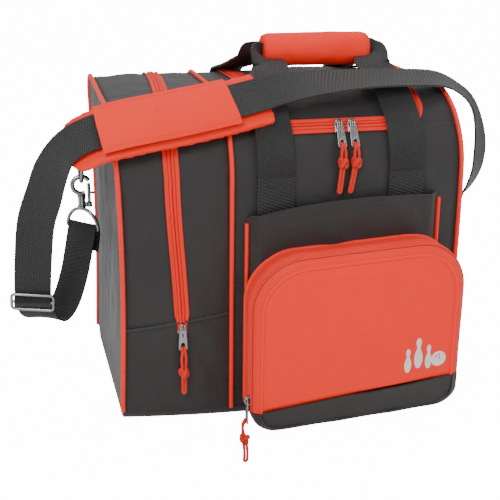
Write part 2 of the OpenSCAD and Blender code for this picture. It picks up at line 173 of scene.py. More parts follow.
def along(points: Sequence[Vector], marks: Sequence[float], distance: float) -> Vector:
    """Point at a distance along a line, given the stations of its points."""
    for i in range(len(points) - 1):
        if distance <= marks[i + 1] or i == len(points) - 2:
            span = max(marks[i + 1] - marks[i], 1e-9)
            return mix(points[i], points[i + 1], (distance - marks[i]) / span)
    return points[-1]


# ---------------------------------------------------------------------------
# Mesh tools
# ---------------------------------------------------------------------------


def alone(obj: bpy.types.Object) -> None:
    """Make an object the only one selected."""
    bpy.ops.object.select_all(action="DESELECT")
    obj.select_set(True)
    bpy.context.view_layer.objects.active = obj


def apply_all(obj: bpy.types.Object) -> None:
    """Apply every modifier of an object, in order."""
    alone(obj)
    for modifier in list(obj.modifiers):
        bpy.ops.object.modifier_apply(modifier=modifier.name)


def rename(obj: bpy.types.Object, name: str) -> bpy.types.Object:
    """Name an object and its data."""
    obj.name = name
    obj.data.name = name
    return obj


def face_out(obj: bpy.types.Object) -> None:
    """Turn the faces of a closed mesh outwards."""
    alone(obj)
    bpy.ops.object.mode_set(mode="EDIT")
    bpy.ops.mesh.select_all(action="SELECT")
    bpy.ops.mesh.remove_doubles(threshold=0.00001)
    bpy.ops.mesh.normals_make_consistent(inside=False)
    bpy.ops.object.mode_set(mode="OBJECT")


def shade(obj: bpy.types.Object, degrees: float = 40) -> bpy.types.Object:
    """Smooth an object's faces, but not its edges over an angle."""
    alone(obj)
    bpy.ops.object.shade_smooth_by_angle(angle=math.radians(degrees))
    return obj


def cloth(name: str, cols: int, rows: int, place: Place, size: tuple[float, float],
          thick: float = 0.0, out: Sequence[float] = (0, -1, 0),
          shift: float = 0.0) -> bpy.types.Object:
    """A grid laid over a surface, with its thickness and its UV map in metres.

    Args:
        name: Name of the piece.
        cols: Squares along u.
        rows: Squares along v.
        place: Gives the place in millimetres at u and v, both from 0 to 1.
        size: Real size along u and v in millimetres, for the weave.
        thick: Thickness in millimetres, added on the inner side.
        out: A direction that the middle of the surface faces.
        shift: Where the UV map's v starts, in millimetres.

    Returns:
        The finished object.
    """
    bpy.ops.object.select_all(action="DESELECT")
    bpy.ops.mesh.primitive_grid_add(x_subdivisions=cols, y_subdivisions=rows, size=1,
                                    calc_uvs=True)
    obj = rename(bpy.context.object, name)
    mesh = obj.data
    for vertex in mesh.vertices:
        vertex.co = place(clamp(vertex.co.x + 0.5), clamp(vertex.co.y + 0.5)) * MM
    for item in mesh.uv_layers.active.data:
        item.uv = (item.uv[0] * size[0] * MM, (item.uv[1] * size[1] + shift) * MM)
    mesh.update()
    facing = Vector()
    for face in mesh.polygons:
        facing += face.normal * face.area
    if facing.dot(Vector(out)) < 0:
        mesh.flip_normals()
    if thick:
        solid = obj.modifiers.new("thickness", "SOLIDIFY")
        solid.thickness = thick * MM
        solid.offset = -1
        apply_all(obj)
    return shade(obj)


def tube(name: str, points: Sequence[Vector], radius: float, closed: bool = False,
         sides: int = 3) -> bpy.types.Object:
    """A round rod along points in millimetres.

    Args:
        name: Name of the piece.
        points: Points of the centre line.
        radius: Radius in millimetres.
        closed: Whether the line meets itself.
        sides: Resolution of the round section.

    Returns:
        A mesh object.
    """
    curve = bpy.data.curves.new(name, "CURVE")
    curve.dimensions = "3D"
    curve.bevel_depth = radius * MM
    curve.bevel_resolution = sides
    curve.use_fill_caps = True
    spline = curve.splines.new("POLY")
    spline.points.add(len(points) - 1)
    for item, point in zip(spline.points, points):
        item.co = (*(point * MM), 1)
    spline.use_cyclic_u = closed
    obj = bpy.data.objects.new(name, curve)
    bpy.context.collection.objects.link(obj)
    alone(obj)
    bpy.ops.object.convert(target="MESH")
    obj = rename(bpy.context.object, name)
    face_out(obj)
    return shade(obj, 60)


def ribbon(name: str, centre: Sequence[Vector], across: Sequence[Vector],
           width: float | Callable[[float], float], thick: float, rows: int = 6,
           relief: Callable[[float], float] | None = None, steps: int = 1,
           span: tuple[float, float] = (-0.5, 0.5)) -> bpy.types.Object:
    """A flat band along a line.

    Args:
        name: Name of the piece.
        centre: Points of the centre line, in millimetres.
        across: Direction of the width at each point.
        width: Width in millimetres, or a function of the share of the length.
        thick: Thickness in millimetres.
        rows: Squares across the width.
        relief: Height in millimetres at a distance from the middle.
        steps: Squares in each span of the line.
        span: The part of the width that the band covers.

    Returns:
        The finished object.
    """
    last = len(centre) - 1
    wide = width if callable(width) else lambda _share: width
    total = length_of(centre)

    def sample(u: float) -> tuple[Vector, Vector, Vector]:
        """Place, width direction and normal at a share of the line."""
        i = min(int(u * last), last - 1)
        t = u * last - i
        heading = (centre[min(i + 2, last)] - centre[i]).lerp(
            centre[i + 1] - centre[max(i - 1, 0)], 1 - t).normalized()
        side = across[i].lerp(across[i + 1], t)
        side = (side - heading * side.dot(heading)).normalized()
        return mix(centre[i], centre[i + 1], t), side, side.cross(heading)

    def place(u: float, v: float) -> Vector:
        """Place of a point of the band."""
        point, side, up = sample(u)
        offset = (span[0] + (span[1] - span[0]) * v) * wide(u)
        lift = relief(offset) if relief else 0.0
        return point + side * offset + up * (lift + thick / 2)

    middle_up = sample(0.5)[2]
    return cloth(name, last * steps, rows, place, (total, wide(0.5)), thick, middle_up)


def copies(name: str, source: bpy.types.Object, places: Sequence[Matrix]) -> bpy.types.Object:
    """One mesh that holds a copy of a small shape at each place; the source is removed."""
    verts = [v.co.copy() for v in source.data.vertices]
    faces = [list(f.vertices) for f in source.data.polygons]
    all_verts, all_faces = [], []
    for matrix in places:
        base = len(all_verts)
        all_verts += [matrix @ v for v in verts]
        all_faces += [[base + i for i in face] for face in faces]
    mesh = bpy.data.meshes.new(name)
    mesh.from_pydata(all_verts, [], all_faces)
    obj = bpy.data.objects.new(name, mesh)
    bpy.context.collection.objects.link(obj)
    bpy.data.objects.remove(source)
    face_out(obj)
    return shade(obj, 60)


def stitching(name: str, line: Sequence[Vector], pitch: float = 3.4,
              radius: float = 0.35) -> bpy.types.Object:
    """A row of thread stitches along a line in millimetres."""
    marks = stations(line)
    bpy.ops.object.select_all(action="DESELECT")
    bpy.ops.mesh.primitive_ico_sphere_add(subdivisions=1, radius=radius * MM)
    bead = bpy.context.object
    places = []
    for k in range(int(marks[-1] / pitch)):
        a = along(line, marks, (k + 0.15) * pitch)
        b = along(line, marks, (k + 0.85) * pitch)
        turn = (b - a).to_track_quat("X", "Z").to_matrix().to_4x4()
        stretch = Matrix.Diagonal(((b - a).length / (2 * radius), 1, 1, 1))
        places.append(Matrix.Translation((a + b) / 2 * MM) @ turn @ stretch)
    return copies(name, bead, places)


def plate(name: str, outer: Outline, holes: Sequence[Outline], thick: float,
          round_by: float, matrix: Matrix) -> bpy.types.Object:
    """A flat plate with holes, lying in X and Z before its matrix is applied.

    Args:
        name: Name of the piece.
        outer: Outline in millimetres.
        holes: Outlines of the holes.
        thick: Thickness in millimetres.
        round_by: Radius of the rounded rims in millimetres.
        matrix: Where the plate goes.

    Returns:
        A mesh object.
    """
    curve = bpy.data.curves.new(name, "CURVE")
    curve.dimensions = "2D"
    curve.fill_mode = "BOTH"
    curve.extrude = (thick / 2 - round_by) * MM
    curve.bevel_depth = round_by * MM
    curve.bevel_resolution = 2
    for line in [outer, *holes]:
        spline = curve.splines.new("POLY")
        spline.points.add(len(line) - 1)
        for item, (x, z) in zip(spline.points, line):
            item.co = (x * MM, z * MM, 0, 1)
        spline.use_cyclic_u = True
    obj = bpy.data.objects.new(name, curve)
    bpy.context.collection.objects.link(obj)
    alone(obj)
    bpy.ops.object.convert(target="MESH")
    obj = rename(bpy.context.object, name)
    obj.data.transform(matrix @ Matrix.Rotation(math.radians(90), 4, "X"))
    face_out(obj)
    return shade(obj, 35)


def barrel(name: str, a: Vector, b: Vector, radius: float, rim: float = 0.4) -> bpy.types.Object:
    """A short round bar between two points, with bevelled rims."""
    bpy.ops.object.select_all(action="DESELECT")
    bpy.ops.mesh.primitive_cylinder_add(vertices=28, radius=radius * MM,
                                        depth=(b - a).length * MM)
    obj = rename(bpy.context.object, name)
    turn = (b - a).to_track_quat("Z", "Y").to_matrix().to_4x4()
    obj.data.transform(Matrix.Translation((a + b) / 2 * MM) @ turn)
    bevel = obj.modifiers.new("rims", "BEVEL")
    bevel.width = rim * MM
    bevel.segments = 2
    bevel.limit_method = "ANGLE"
    apply_all(obj)
    return shade(obj, 35)


def join(name: str, parts: Sequence[bpy.types.Object]) -> bpy.types.Object:
    """Join objects into one."""
    bpy.ops.object.select_all(action="DESELECT")
    for part in parts:
        part.select_set(True)
    bpy.context.view_layer.objects.active = parts[0]
    if len(parts) > 1:
        bpy.ops.object.join()
    return rename(bpy.context.object, name)


def swell(obj: bpy.types.Object, voxel: float, pressure: float, cap: float) -> None:
    """Blow a closed shape up with the cloth solver, and smooth it.

    Args:
        obj: The closed mesh.
        voxel: Size of the remesh in millimetres.
        pressure: Pressure of the filling.
        cap: The furthest that a point may move, in millimetres.
    """
    alone(obj)
    remesh = obj.modifiers.new("remesh", "REMESH")
    remesh.mode = "VOXEL"
    remesh.voxel_size = voxel * MM
    apply_all(obj)
    rest = [v.co.copy() for v in obj.data.vertices]
    sim = obj.modifiers.new("filling", "CLOTH")
    sim.settings.quality = 6
    sim.settings.use_pressure = True
    sim.settings.uniform_pressure_force = pressure
    sim.settings.effector_weights.gravity = 0
    sim.point_cache.frame_start = 1
    sim.point_cache.frame_end = 20
    for frame in range(1, 21):
        bpy.context.scene.frame_set(frame)
    apply_all(obj)
    bpy.context.scene.frame_set(1)
    for vertex, start in zip(obj.data.vertices, rest):
        move = vertex.co - start
        if move.length > cap * MM:
            vertex.co = start + move.normalized() * cap * MM
    soften = obj.modifiers.new("soften", "SMOOTH")
    soften.factor = 0.5
    soften.iterations = 4
    finer = obj.modifiers.new("finer", "SUBSURF")
    finer.levels = finer.render_levels = 1
    apply_all(obj)
    shade(obj, 180)


# ---------------------------------------------------------------------------
# Finishes
# ---------------------------------------------------------------------------


class Nodes:
    """A short way to add and link shader nodes."""

    def __init__(self, tree: bpy.types.NodeTree) -> None:
        """Keep the tree that nodes go in."""
        self.tree = tree

    def add(self, kind: str, **values: object) -> bpy.types.Node:
        """Add a node; a value sets an attribute, and a value named in_N sets input N."""
        node = self.tree.nodes.new(kind)
        for key, value in values.items():
            if key.startswith("in_"):
                slot = key[3:].replace("_", " ")
                node.inputs[int(slot) if slot.isdigit() else slot].default_value = value
            else:
                setattr(node, key, value)
        return node

    def link(self, source: bpy.types.NodeSocket, target: bpy.types.NodeSocket) -> None:
        """Link an output to an input."""
        self.tree.links.new(source, target)

    def maths(self, operation: str, a: object, b: object = None) -> bpy.types.NodeSocket:
        """A Math node on sockets or numbers, and its output."""
        node = self.add("ShaderNodeMath", operation=operation)
        for k, value in enumerate((a, b)):
            if isinstance(value, bpy.types.NodeSocket):
                self.link(value, node.inputs[k])
            elif value is not None:
                node.inputs[k].default_value = value
        return node.outputs[0]


def blank_material(name: str) -> tuple[bpy.types.Material, Nodes, bpy.types.Node,
                                       bpy.types.Node]:
    """A new material, its node helper, its shader and its texture coordinates."""
    made = bpy.data.materials.new(name)
    made.use_nodes = True
    n = Nodes(made.node_tree)
    shader = made.node_tree.nodes["Principled BSDF"]
    return made, n, shader, n.add("ShaderNodeTexCoord")


def two_tone(n: Nodes, dark: Sequence[float], light: Sequence[float],
             share: bpy.types.NodeSocket) -> bpy.types.NodeSocket:
    """A colour between a dark and a light one, by a share."""
    tone = n.add("ShaderNodeMix", data_type="RGBA")
    tone.inputs["A"].default_value = (*dark, 1)
    tone.inputs["B"].default_value = (*light, 1)
    n.link(share, tone.inputs["Factor"])
    return tone.outputs["Result"]


def group_tree(name: str, inputs: Sequence[tuple[str, str, float]],
               outputs: Sequence[str]) -> tuple[bpy.types.NodeTree, Nodes, bpy.types.Node,
                                                bpy.types.Node]:
    """Start a shader node group.

    Args:
        name: Name of the group.
        inputs: Name, socket type and default value of each input.
        outputs: Names of the outputs, which are numbers.

    Returns:
        The tree, its node helper, and its input and output nodes.
    """
    tree = bpy.data.node_groups.new(name, "ShaderNodeTree")
    for label, kind, value in inputs:
        socket = tree.interface.new_socket(label, in_out="INPUT", socket_type=kind)
        if kind == "NodeSocketFloat":
            socket.default_value = value
    for label in outputs:
        tree.interface.new_socket(label, in_out="OUTPUT", socket_type="NodeSocketFloat")
    nodes = Nodes(tree)
    return tree, nodes, nodes.add("NodeGroupInput"), nodes.add("NodeGroupOutput")


def weave_group() -> bpy.types.NodeTree:
    """Plain weave: threads that cross over and under, in any plane of the vector."""
    tree, n, source, sink = group_tree(
        "plain_weave", [("Vector", "NodeSocketVector", 0), ("Pitch", "NodeSocketFloat", 0.0008)],
        ["Height"])
    parts = n.add("ShaderNodeSeparateXYZ")
    n.link(source.outputs[0], parts.inputs[0])
    rate = n.maths("DIVIDE", math.tau, source.outputs[1])
    waves = [n.maths("SINE", n.maths("MULTIPLY", parts.outputs[k], rate)) for k in range(3)]
    crossed = [n.maths("MULTIPLY", waves[k], waves[(k + 1) % 3]) for k in range(3)]
    total = n.maths("ADD", n.maths("ADD", crossed[0], crossed[1]), crossed[2])
    n.link(n.maths("MULTIPLY_ADD", total, 0.5), sink.inputs[0])
    return tree


def rib_group() -> bpy.types.NodeTree:
    """Webbing ribs: short cross ribs in two staggered columns, along the UV map."""
    tree, n, source, sink = group_tree(
        "webbing_ribs", [("Vector", "NodeSocketVector", 0), ("Pitch", "NodeSocketFloat", 0.002),
                         ("Column", "NodeSocketFloat", 0.003)], ["Height"])
    parts = n.add("ShaderNodeSeparateXYZ")
    n.link(source.outputs[0], parts.inputs[0])
    column = n.maths("FLOOR", n.maths("DIVIDE", parts.outputs[1], source.outputs[2]))
    shift = n.maths("MULTIPLY", column, 2.1)
    turns = n.maths("DIVIDE", n.maths("MULTIPLY", parts.outputs[0], math.tau), source.outputs[1])
    rib = n.maths("SINE", n.maths("ADD", turns, shift))
    edge = n.maths("SINE", n.maths("DIVIDE", n.maths("MULTIPLY", parts.outputs[1], math.tau),
                                   source.outputs[2]))
    n.link(n.maths("ADD", n.maths("MULTIPLY", rib, 0.7), n.maths("MULTIPLY", edge, 0.3)),
           sink.inputs[0])
    return tree


@dataclass(frozen=True)
class Textile:
    """A woven finish: two close colours, a weave or ribs, a soft sheen, and painted shade along
    narrow groove lines where given.
    """

    name: str
    light: tuple[float, float, float]
    dark: tuple[float, float, float]
    rough: float = 0.62
    pitch: float = 0.0009
    depth: float = 0.25
    ribbed: bool = False
    from_uv: bool = True
    sheen: float = 0.25
    mottle: float = 14.0
    crumple: float = 0.25
    # Distances from the band's middle of the narrow groove lines that get painted shade.
    shaded_grooves: tuple[float, ...] = ()

    def shadowed(self, n: Nodes, place: bpy.types.Node,
                 colour: bpy.types.NodeSocket) -> bpy.types.NodeSocket:
        """Paint shade into the colour along narrow groove lines at distances from the middle of the
        band.
        """
        parts = n.add("ShaderNodeSeparateXYZ")
        n.link(place.outputs["UV"], parts.inputs[0])
        away = n.maths("ABSOLUTE", parts.outputs[1])
        dark = None
        for groove in self.shaded_grooves:
            band = n.add("ShaderNodeMapRange", interpolation_type="SMOOTHSTEP",
                         in_From_Min=0.0, in_From_Max=0.0007, in_To_Min=0.8, in_To_Max=0.0)
            n.link(n.maths("ABSOLUTE", n.maths("SUBTRACT", away, groove)), band.inputs["Value"])
            dark = band.outputs[0] if dark is None else n.maths("MAXIMUM", dark, band.outputs[0])
        shade = n.add("ShaderNodeMix", data_type="RGBA")
        shade.inputs["B"].default_value = (*(c * 0.22 for c in self.dark), 1)
        n.link(colour, shade.inputs["A"])
        n.link(dark, shade.inputs["Factor"])
        return shade.outputs["Result"]

    def material(self) -> bpy.types.Material:
        """Build the material."""
        made, n, shader, place = blank_material(self.name)
        kind = "webbing_ribs" if self.ribbed else "plain_weave"
        group = n.add("ShaderNodeGroup", node_tree=bpy.data.node_groups[kind], in_1=self.pitch)
        n.link(place.outputs["UV" if self.from_uv else "Object"], group.inputs[0])
        tone = n.add("ShaderNodeTexNoise", in_Scale=self.mottle, in_Detail=5.0, in_Roughness=0.6)
        grain = n.add("ShaderNodeTexNoise", in_Scale=900.0, in_Detail=2.0)
        for texture in (tone, grain):
            n.link(place.outputs["Object"], texture.inputs["Vector"])
        share = n.maths("ADD", n.maths("MULTIPLY", tone.outputs[0], 0.7),
                        n.maths("MULTIPLY", group.outputs[0], 0.35))
        colour = two_tone(n, self.dark, self.light, share)
        # Painted shade along the listed groove lines.
        if self.shaded_grooves:
            colour = self.shadowed(n, place, colour)
        n.link(colour, shader.inputs["Base Color"])
        rough = n.maths("ADD", n.maths("MULTIPLY", grain.outputs[0], 0.16), self.rough - 0.08)
        n.link(rough, shader.inputs["Roughness"])
        height = n.maths("ADD", group.outputs[0], n.maths("MULTIPLY", grain.outputs[0], 0.6))
        soft = n.add("ShaderNodeTexNoise", in_Scale=26.0, in_Detail=4.0, in_Roughness=0.45,
                     in_Distortion=0.6)
        n.link(place.outputs["Object"], soft.inputs["Vector"])
        wavy = n.add("ShaderNodeBump", in_Strength=self.crumple, in_Distance=0.006)
        n.link(soft.outputs[0], wavy.inputs["Height"])
        bump = n.add("ShaderNodeBump", in_Strength=self.depth, in_Distance=0.0004)
        n.link(wavy.outputs[0], bump.inputs["Normal"])
        n.link(height, bump.inputs["Height"])
        n.link(bump.outputs[0], shader.inputs["Normal"])
        shader.inputs["Sheen Weight"].default_value = self.sheen
        shader.inputs["Sheen Roughness"].default_value = 0.5
        shader.inputs["Specular IOR Level"].default_value = 0.35
        return made


@dataclass(frozen=True)
class Metal:
    """Plated metal with faint scuffs."""

    name: str
    colour: tuple[float, float, float]
    rough: float = 0.16

    def material(self) -> bpy.types.Material:
        """Build the material."""
        made, n, shader, place = blank_material(self.name)
        scuff = n.add("ShaderNodeTexNoise", in_Scale=260.0, in_Detail=6.0, in_Roughness=0.7)
        n.link(place.outputs["Object"], scuff.inputs["Vector"])
        n.link(n.maths("ADD", n.maths("MULTIPLY", scuff.outputs[0], 0.22), self.rough - 0.08),
               shader.inputs["Roughness"])
        tone = two_tone(n, [c * 0.8 for c in self.colour], self.colour, scuff.outputs[0])
        n.link(tone, shader.inputs["Base Color"])
        bump = n.add("ShaderNodeBump", in_Strength=0.08, in_Distance=0.0002)
        n.link(scuff.outputs[0], bump.inputs["Height"])
        n.link(bump.outputs[0], shader.inputs["Normal"])
        shader.inputs["Metallic"].default_value = 1.0
        return made


@dataclass(frozen=True)
class Speckled:
    """A matt finish with fine pores or ink grain, for foam and print."""

    name: str
    colour: tuple[float, float, float]
    scale: float = 350.0
    depth: float = 0.3
    rough: float = 0.85

    def material(self) -> bpy.types.Material:
        """Build the material."""
        made, n, shader, place = blank_material(self.name)
        pores = n.add("ShaderNodeTexNoise", in_Scale=self.scale, in_Detail=3.0)
        n.link(place.outputs["Object"], pores.inputs["Vector"])
        tone = two_tone(n, [c * 0.75 for c in self.colour], self.colour, pores.outputs[0])
        n.link(tone, shader.inputs["Base Color"])
        bump = n.add("ShaderNodeBump", in_Strength=self.depth, in_Distance=0.0004)
        n.link(pores.outputs[0], bump.inputs["Height"])
        n.link(bump.outputs[0], shader.inputs["Normal"])
        shader.inputs["Roughness"].default_value = self.rough
        return made


ORANGE = (1.0, 0.022, 0.002)
DEEP_ORANGE = (0.9, 0.014, 0.001)
BLACK_CLOTH = Textile("black_polyester", (0.031, 0.029, 0.028), (0.01, 0.0095, 0.0095),
                      sheen=0.12, rough=0.55, crumple=0.5)
ORANGE_CLOTH = Textile("orange_polyester", ORANGE, DEEP_ORANGE, sheen=0.0)
PADDED_CLOTH = Textile("orange_padded", ORANGE, DEEP_ORANGE, from_uv=False,
                       mottle=9.0, sheen=0.0)
BLACK_WEB = Textile("black_webbing", (0.03, 0.03, 0.031), (0.006, 0.006, 0.006), pitch=0.0026,
                    depth=0.9, ribbed=True, rough=0.5, sheen=0.1, crumple=0.04)
# Painted shade on the zip tape: dark lines at the gap between the coils, beside the coils and at
# the tape's outer edge.
ZIP_TAPE = Textile("orange_zip", ORANGE, (0.75, 0.01, 0.001), pitch=0.0016, depth=0.5,
                   sheen=0.06, crumple=0.05, shaded_grooves=(0.0, 0.0036, 0.0082))
WELT = Textile("orange_piping", (1.0, 0.025, 0.003), (0.86, 0.015, 0.001), from_uv=False,
               pitch=0.0007, depth=0.15, rough=0.5, sheen=0.06, crumple=0.05)
BRAID = Textile("orange_braid", (0.95, 0.035, 0.005), (0.55, 0.01, 0.001), from_uv=False,
                pitch=0.0017, depth=0.8, sheen=0.06, crumple=0.0)
THREAD = Textile("black_thread", (0.034, 0.034, 0.035), (0.012, 0.012, 0.012), from_uv=False,
                 pitch=0.0006, depth=0.3)
ORANGE_THREAD = Textile("orange_thread", (0.8, 0.045, 0.008), (0.6, 0.025, 0.004), from_uv=False,
                        pitch=0.0006, depth=0.3)
NICKEL = Metal("bright_nickel", (0.36, 0.36, 0.37), 0.24)
FOAM = Speckled("grey_foam", (0.1, 0.1, 0.105))
PRINT = Speckled("pale_print", (0.78, 0.78, 0.76), scale=900.0, depth=0.15, rough=0.6)


class Wardrobe:
    """All materials, each built once."""

    def __init__(self) -> None:
        """Build the shared groups and start with no material."""
        weave_group()
        rib_group()
        self.made: dict[str, bpy.types.Material] = {}

    def dress(self, obj: bpy.types.Object, finish: Textile | Metal | Speckled, slot: Slot,
              body: str | None = None, *nodes: str) -> bpy.types.Object:
        """Give a piece its material, its body and the nodes it replaces.

        Args:
            obj: The piece.
            finish: Its finish.
            slot: The record's slot that it belongs to; not used.
            body: The body it rides on; None where it blends.
            nodes: The frame's nodes that it replaces.

        Returns:
            The same piece.
        """
        if finish.name not in self.made:
            self.made[finish.name] = finish.material()
        obj.data.materials.clear()
        obj.data.materials.append(self.made[finish.name])
        if body:
            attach(obj, body)
        if nodes:
            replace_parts(obj, *nodes)
        log.info("%s: %d faces", obj.name, len(obj.data.polygons))
        return obj


# ---------------------------------------------------------------------------
# The bag's form
# ---------------------------------------------------------------------------


@dataclass
class Form:
    """Sizes of the bag, the outer ones read from the frame, and the soft shape of its shell."""

    half_w: float = 0.0
    half_d: float = 0.0
    height: float = 0.0
    split: float = -64.0
    front_r: float = 75.0
    rear_r: float = 35.0
    foot_r: float = 12.0
    lid_left: float = -25.0
    lid_right: float = 140.0
    lid_angle: float = 38.5
    hinge_y: float = 98.0
    crown: float = 12.0
    seam_low: float = 111.0
    seam_rise: float = 12.0
    flap_top: float = 262.0
    end_lift: float = 9.0
    webbing_x: tuple[float, float] = (-19.0, 120.0)

    def __post_init__(self) -> None:
        """Take the outer sizes from the left end panel."""
        low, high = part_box("left_end_panel")
        self.half_w = -low[0] / MM
        self.half_d = high[1] / MM
        self.height = high[2] / MM

    @property
    def rise(self) -> float:
        """Length of the upright front."""
        return self.height - self.front_r - self.foot_r

    def front_arc(self, angle: float) -> float:
        """Distance along the profile at an angle of the front arc."""
        return self.rise + self.front_r * math.radians(angle)

    @property
    def top_start(self) -> float:
        """Distance along the profile at the start of the flat top."""
        return self.front_arc(90)

    @property
    def top_length(self) -> float:
        """Length of the flat top."""
        return 2 * self.half_d - self.front_r - self.rear_r

    @property
    def hinge(self) -> float:
        """Distance along the profile at the lid's hinge."""
        turn = math.asin((self.hinge_y - self.half_d + self.rear_r) / self.rear_r)
        return self.top_start + self.top_length + self.rear_r * turn

    @property
    def rear_start(self) -> float:
        """Distance along the profile at the top of the upright back."""
        return self.top_start + self.top_length + self.rear_r * math.pi / 2

    @property
    def total(self) -> float:
        """Length of the whole profile, from the front foot to the rear foot."""
        return self.rear_start + self.height - self.rear_r - self.foot_r

    def profile(self, s: float) -> tuple[float, float, float, float]:
        """Place and outward direction on the profile.

        Args:
            s: Distance from the front foot, up and over, in millimetres.

        Returns:
            Y, Z, and the Y and Z of the outward direction.
        """
        if s < self.rise:
            return -self.half_d, self.foot_r + s, -1.0, 0.0
        if s < self.top_start:
            a = (s - self.rise) / self.front_r
            return (-self.half_d + self.front_r * (1 - math.cos(a)),
                    self.height - self.front_r * (1 - math.sin(a)), -math.cos(a), math.sin(a))
        if s < self.top_start + self.top_length:
            return -self.half_d + self.front_r + s - self.top_start, self.height, 0.0, 1.0
        if s < self.rear_start:
            a = (s - self.top_start - self.top_length) / self.rear_r
            return (self.half_d - self.rear_r * (1 - math.sin(a)),
                    self.height - self.rear_r * (1 - math.cos(a)), math.sin(a), math.cos(a))
        return self.half_d, self.height - self.rear_r - (s - self.rear_start), 1.0, 0.0

    def at(self, s: float, x: float, out: float = 0.0) -> Vector:
        """Soft place at a distance along the profile, at x, lifted out of the surface."""
        y, z, ny, nz = self.profile(s)
        lift = out + self.slack(s, x)
        return self.soft(Vector((x, y + ny * lift, z + nz * lift)))

    def slack(self, s: float, x: float) -> float:
        """How far the cloth stands out of the true profile: crown, bulges and sag."""
        low, high = (-self.half_w, self.split) if x < self.split else (self.split, self.half_w)
        room = hump(x, low, high)
        full = 3.5 if x < self.split else 5.0
        front = full * room**0.7 * hump(s, 0, self.rise + 60)
        back = full * room**0.7 * hump(s, self.rear_start - 30, self.total)
        top = hump(s, self.front_arc(60), self.hinge)
        inside = hump(x, self.lid_left - 12, self.lid_right + 12)
        crown = self.crown * top**1.4 * inside**0.7 if x > self.split else 4 * top * room
        return front + back + crown

    def soft(self, p: Vector) -> Vector:
        """Sag and lean that the shell's pieces share."""
        left = clamp((self.split - p.x) / (self.half_w + self.split))
        high = smooth(p.z, 150, self.height)
        q = p.copy()
        q.z -= 9 * left**1.5 * high * smooth(-p.y, -140, 60)
        q.x += 4 * left * hump(p.z, 20, self.height)
        right = clamp((p.x - 60) / 120)
        q.x += 5 * right**2 * hump(p.z, 10, self.height + 40)
        q.z += self.end_lift * ((p.x - 10) / self.half_w) ** 2 * (1 - smooth(p.z, 0, 150))
        return q

    def folds(self, p: Vector, amount: float = 1.0) -> float:
        """Height of the loose folds and dents in the cloth at a place."""
        slow = noise.noise(Vector((p.x * 0.012 + p.z * 0.006, p.y * 0.01, p.z * 0.011)))
        slant = noise.noise(Vector((p.x * 0.035 + p.z * 0.02, 7.3, p.z * 0.009 - p.x * 0.006)))
        crease = noise.noise(Vector((p.x * 0.03 - p.z * 0.014, p.y * 0.02 + 3.1, p.z * 0.02)))
        return amount * (2.4 * slow + 2.6 * slant + 1.6 * (0.3 - abs(crease)))

    def calm(self, s: float, x: float) -> float:
        """How loose the cloth is at a place: none beside the shoe zip and under webbing."""
        zip_gap = abs(x - self.shoe_line(s)) if x < self.split else 60.0
        webs = min(abs(x - web) for web in self.webbing_x) if x > self.split else 60.0
        return min(smooth(zip_gap, 9, 30), smooth(webs, 20, 40))

    def shoe_line(self, s: float) -> float:
        """X of the shoe zip at a distance along the profile."""
        up = clamp(s / self.rise)
        over = smooth(s, self.front_arc(20), self.hinge)
        return -117.5 - 8.5 * smooth(up, 0.3, 1.0) + 14 * over

    def seam_z(self, x: float) -> float:
        """Height of the shoe section's level seam."""
        return self.seam_low + self.seam_rise * clamp((x + self.half_w) / 116)

    def front_y(self, z: float) -> float:
        """Y of the profile's front at a height."""
        if z < self.foot_r:
            return -self.half_d + self.foot_r - math.sqrt(
                max(0.0, self.foot_r**2 - (self.foot_r - z)**2))
        if z < self.height - self.front_r:
            return -self.half_d
        rise = z - self.height + self.front_r
        return -self.half_d + self.front_r - math.sqrt(max(0.0, self.front_r**2 - rise**2))

    def back_y(self, z: float) -> float:
        """Y of the profile's back at a height."""
        if z < self.foot_r:
            return -self.front_y(z)
        if z < self.height - self.rear_r:
            return self.half_d
        rise = z - self.height + self.rear_r
        return self.half_d - self.rear_r + math.sqrt(max(0.0, self.rear_r**2 - rise**2))


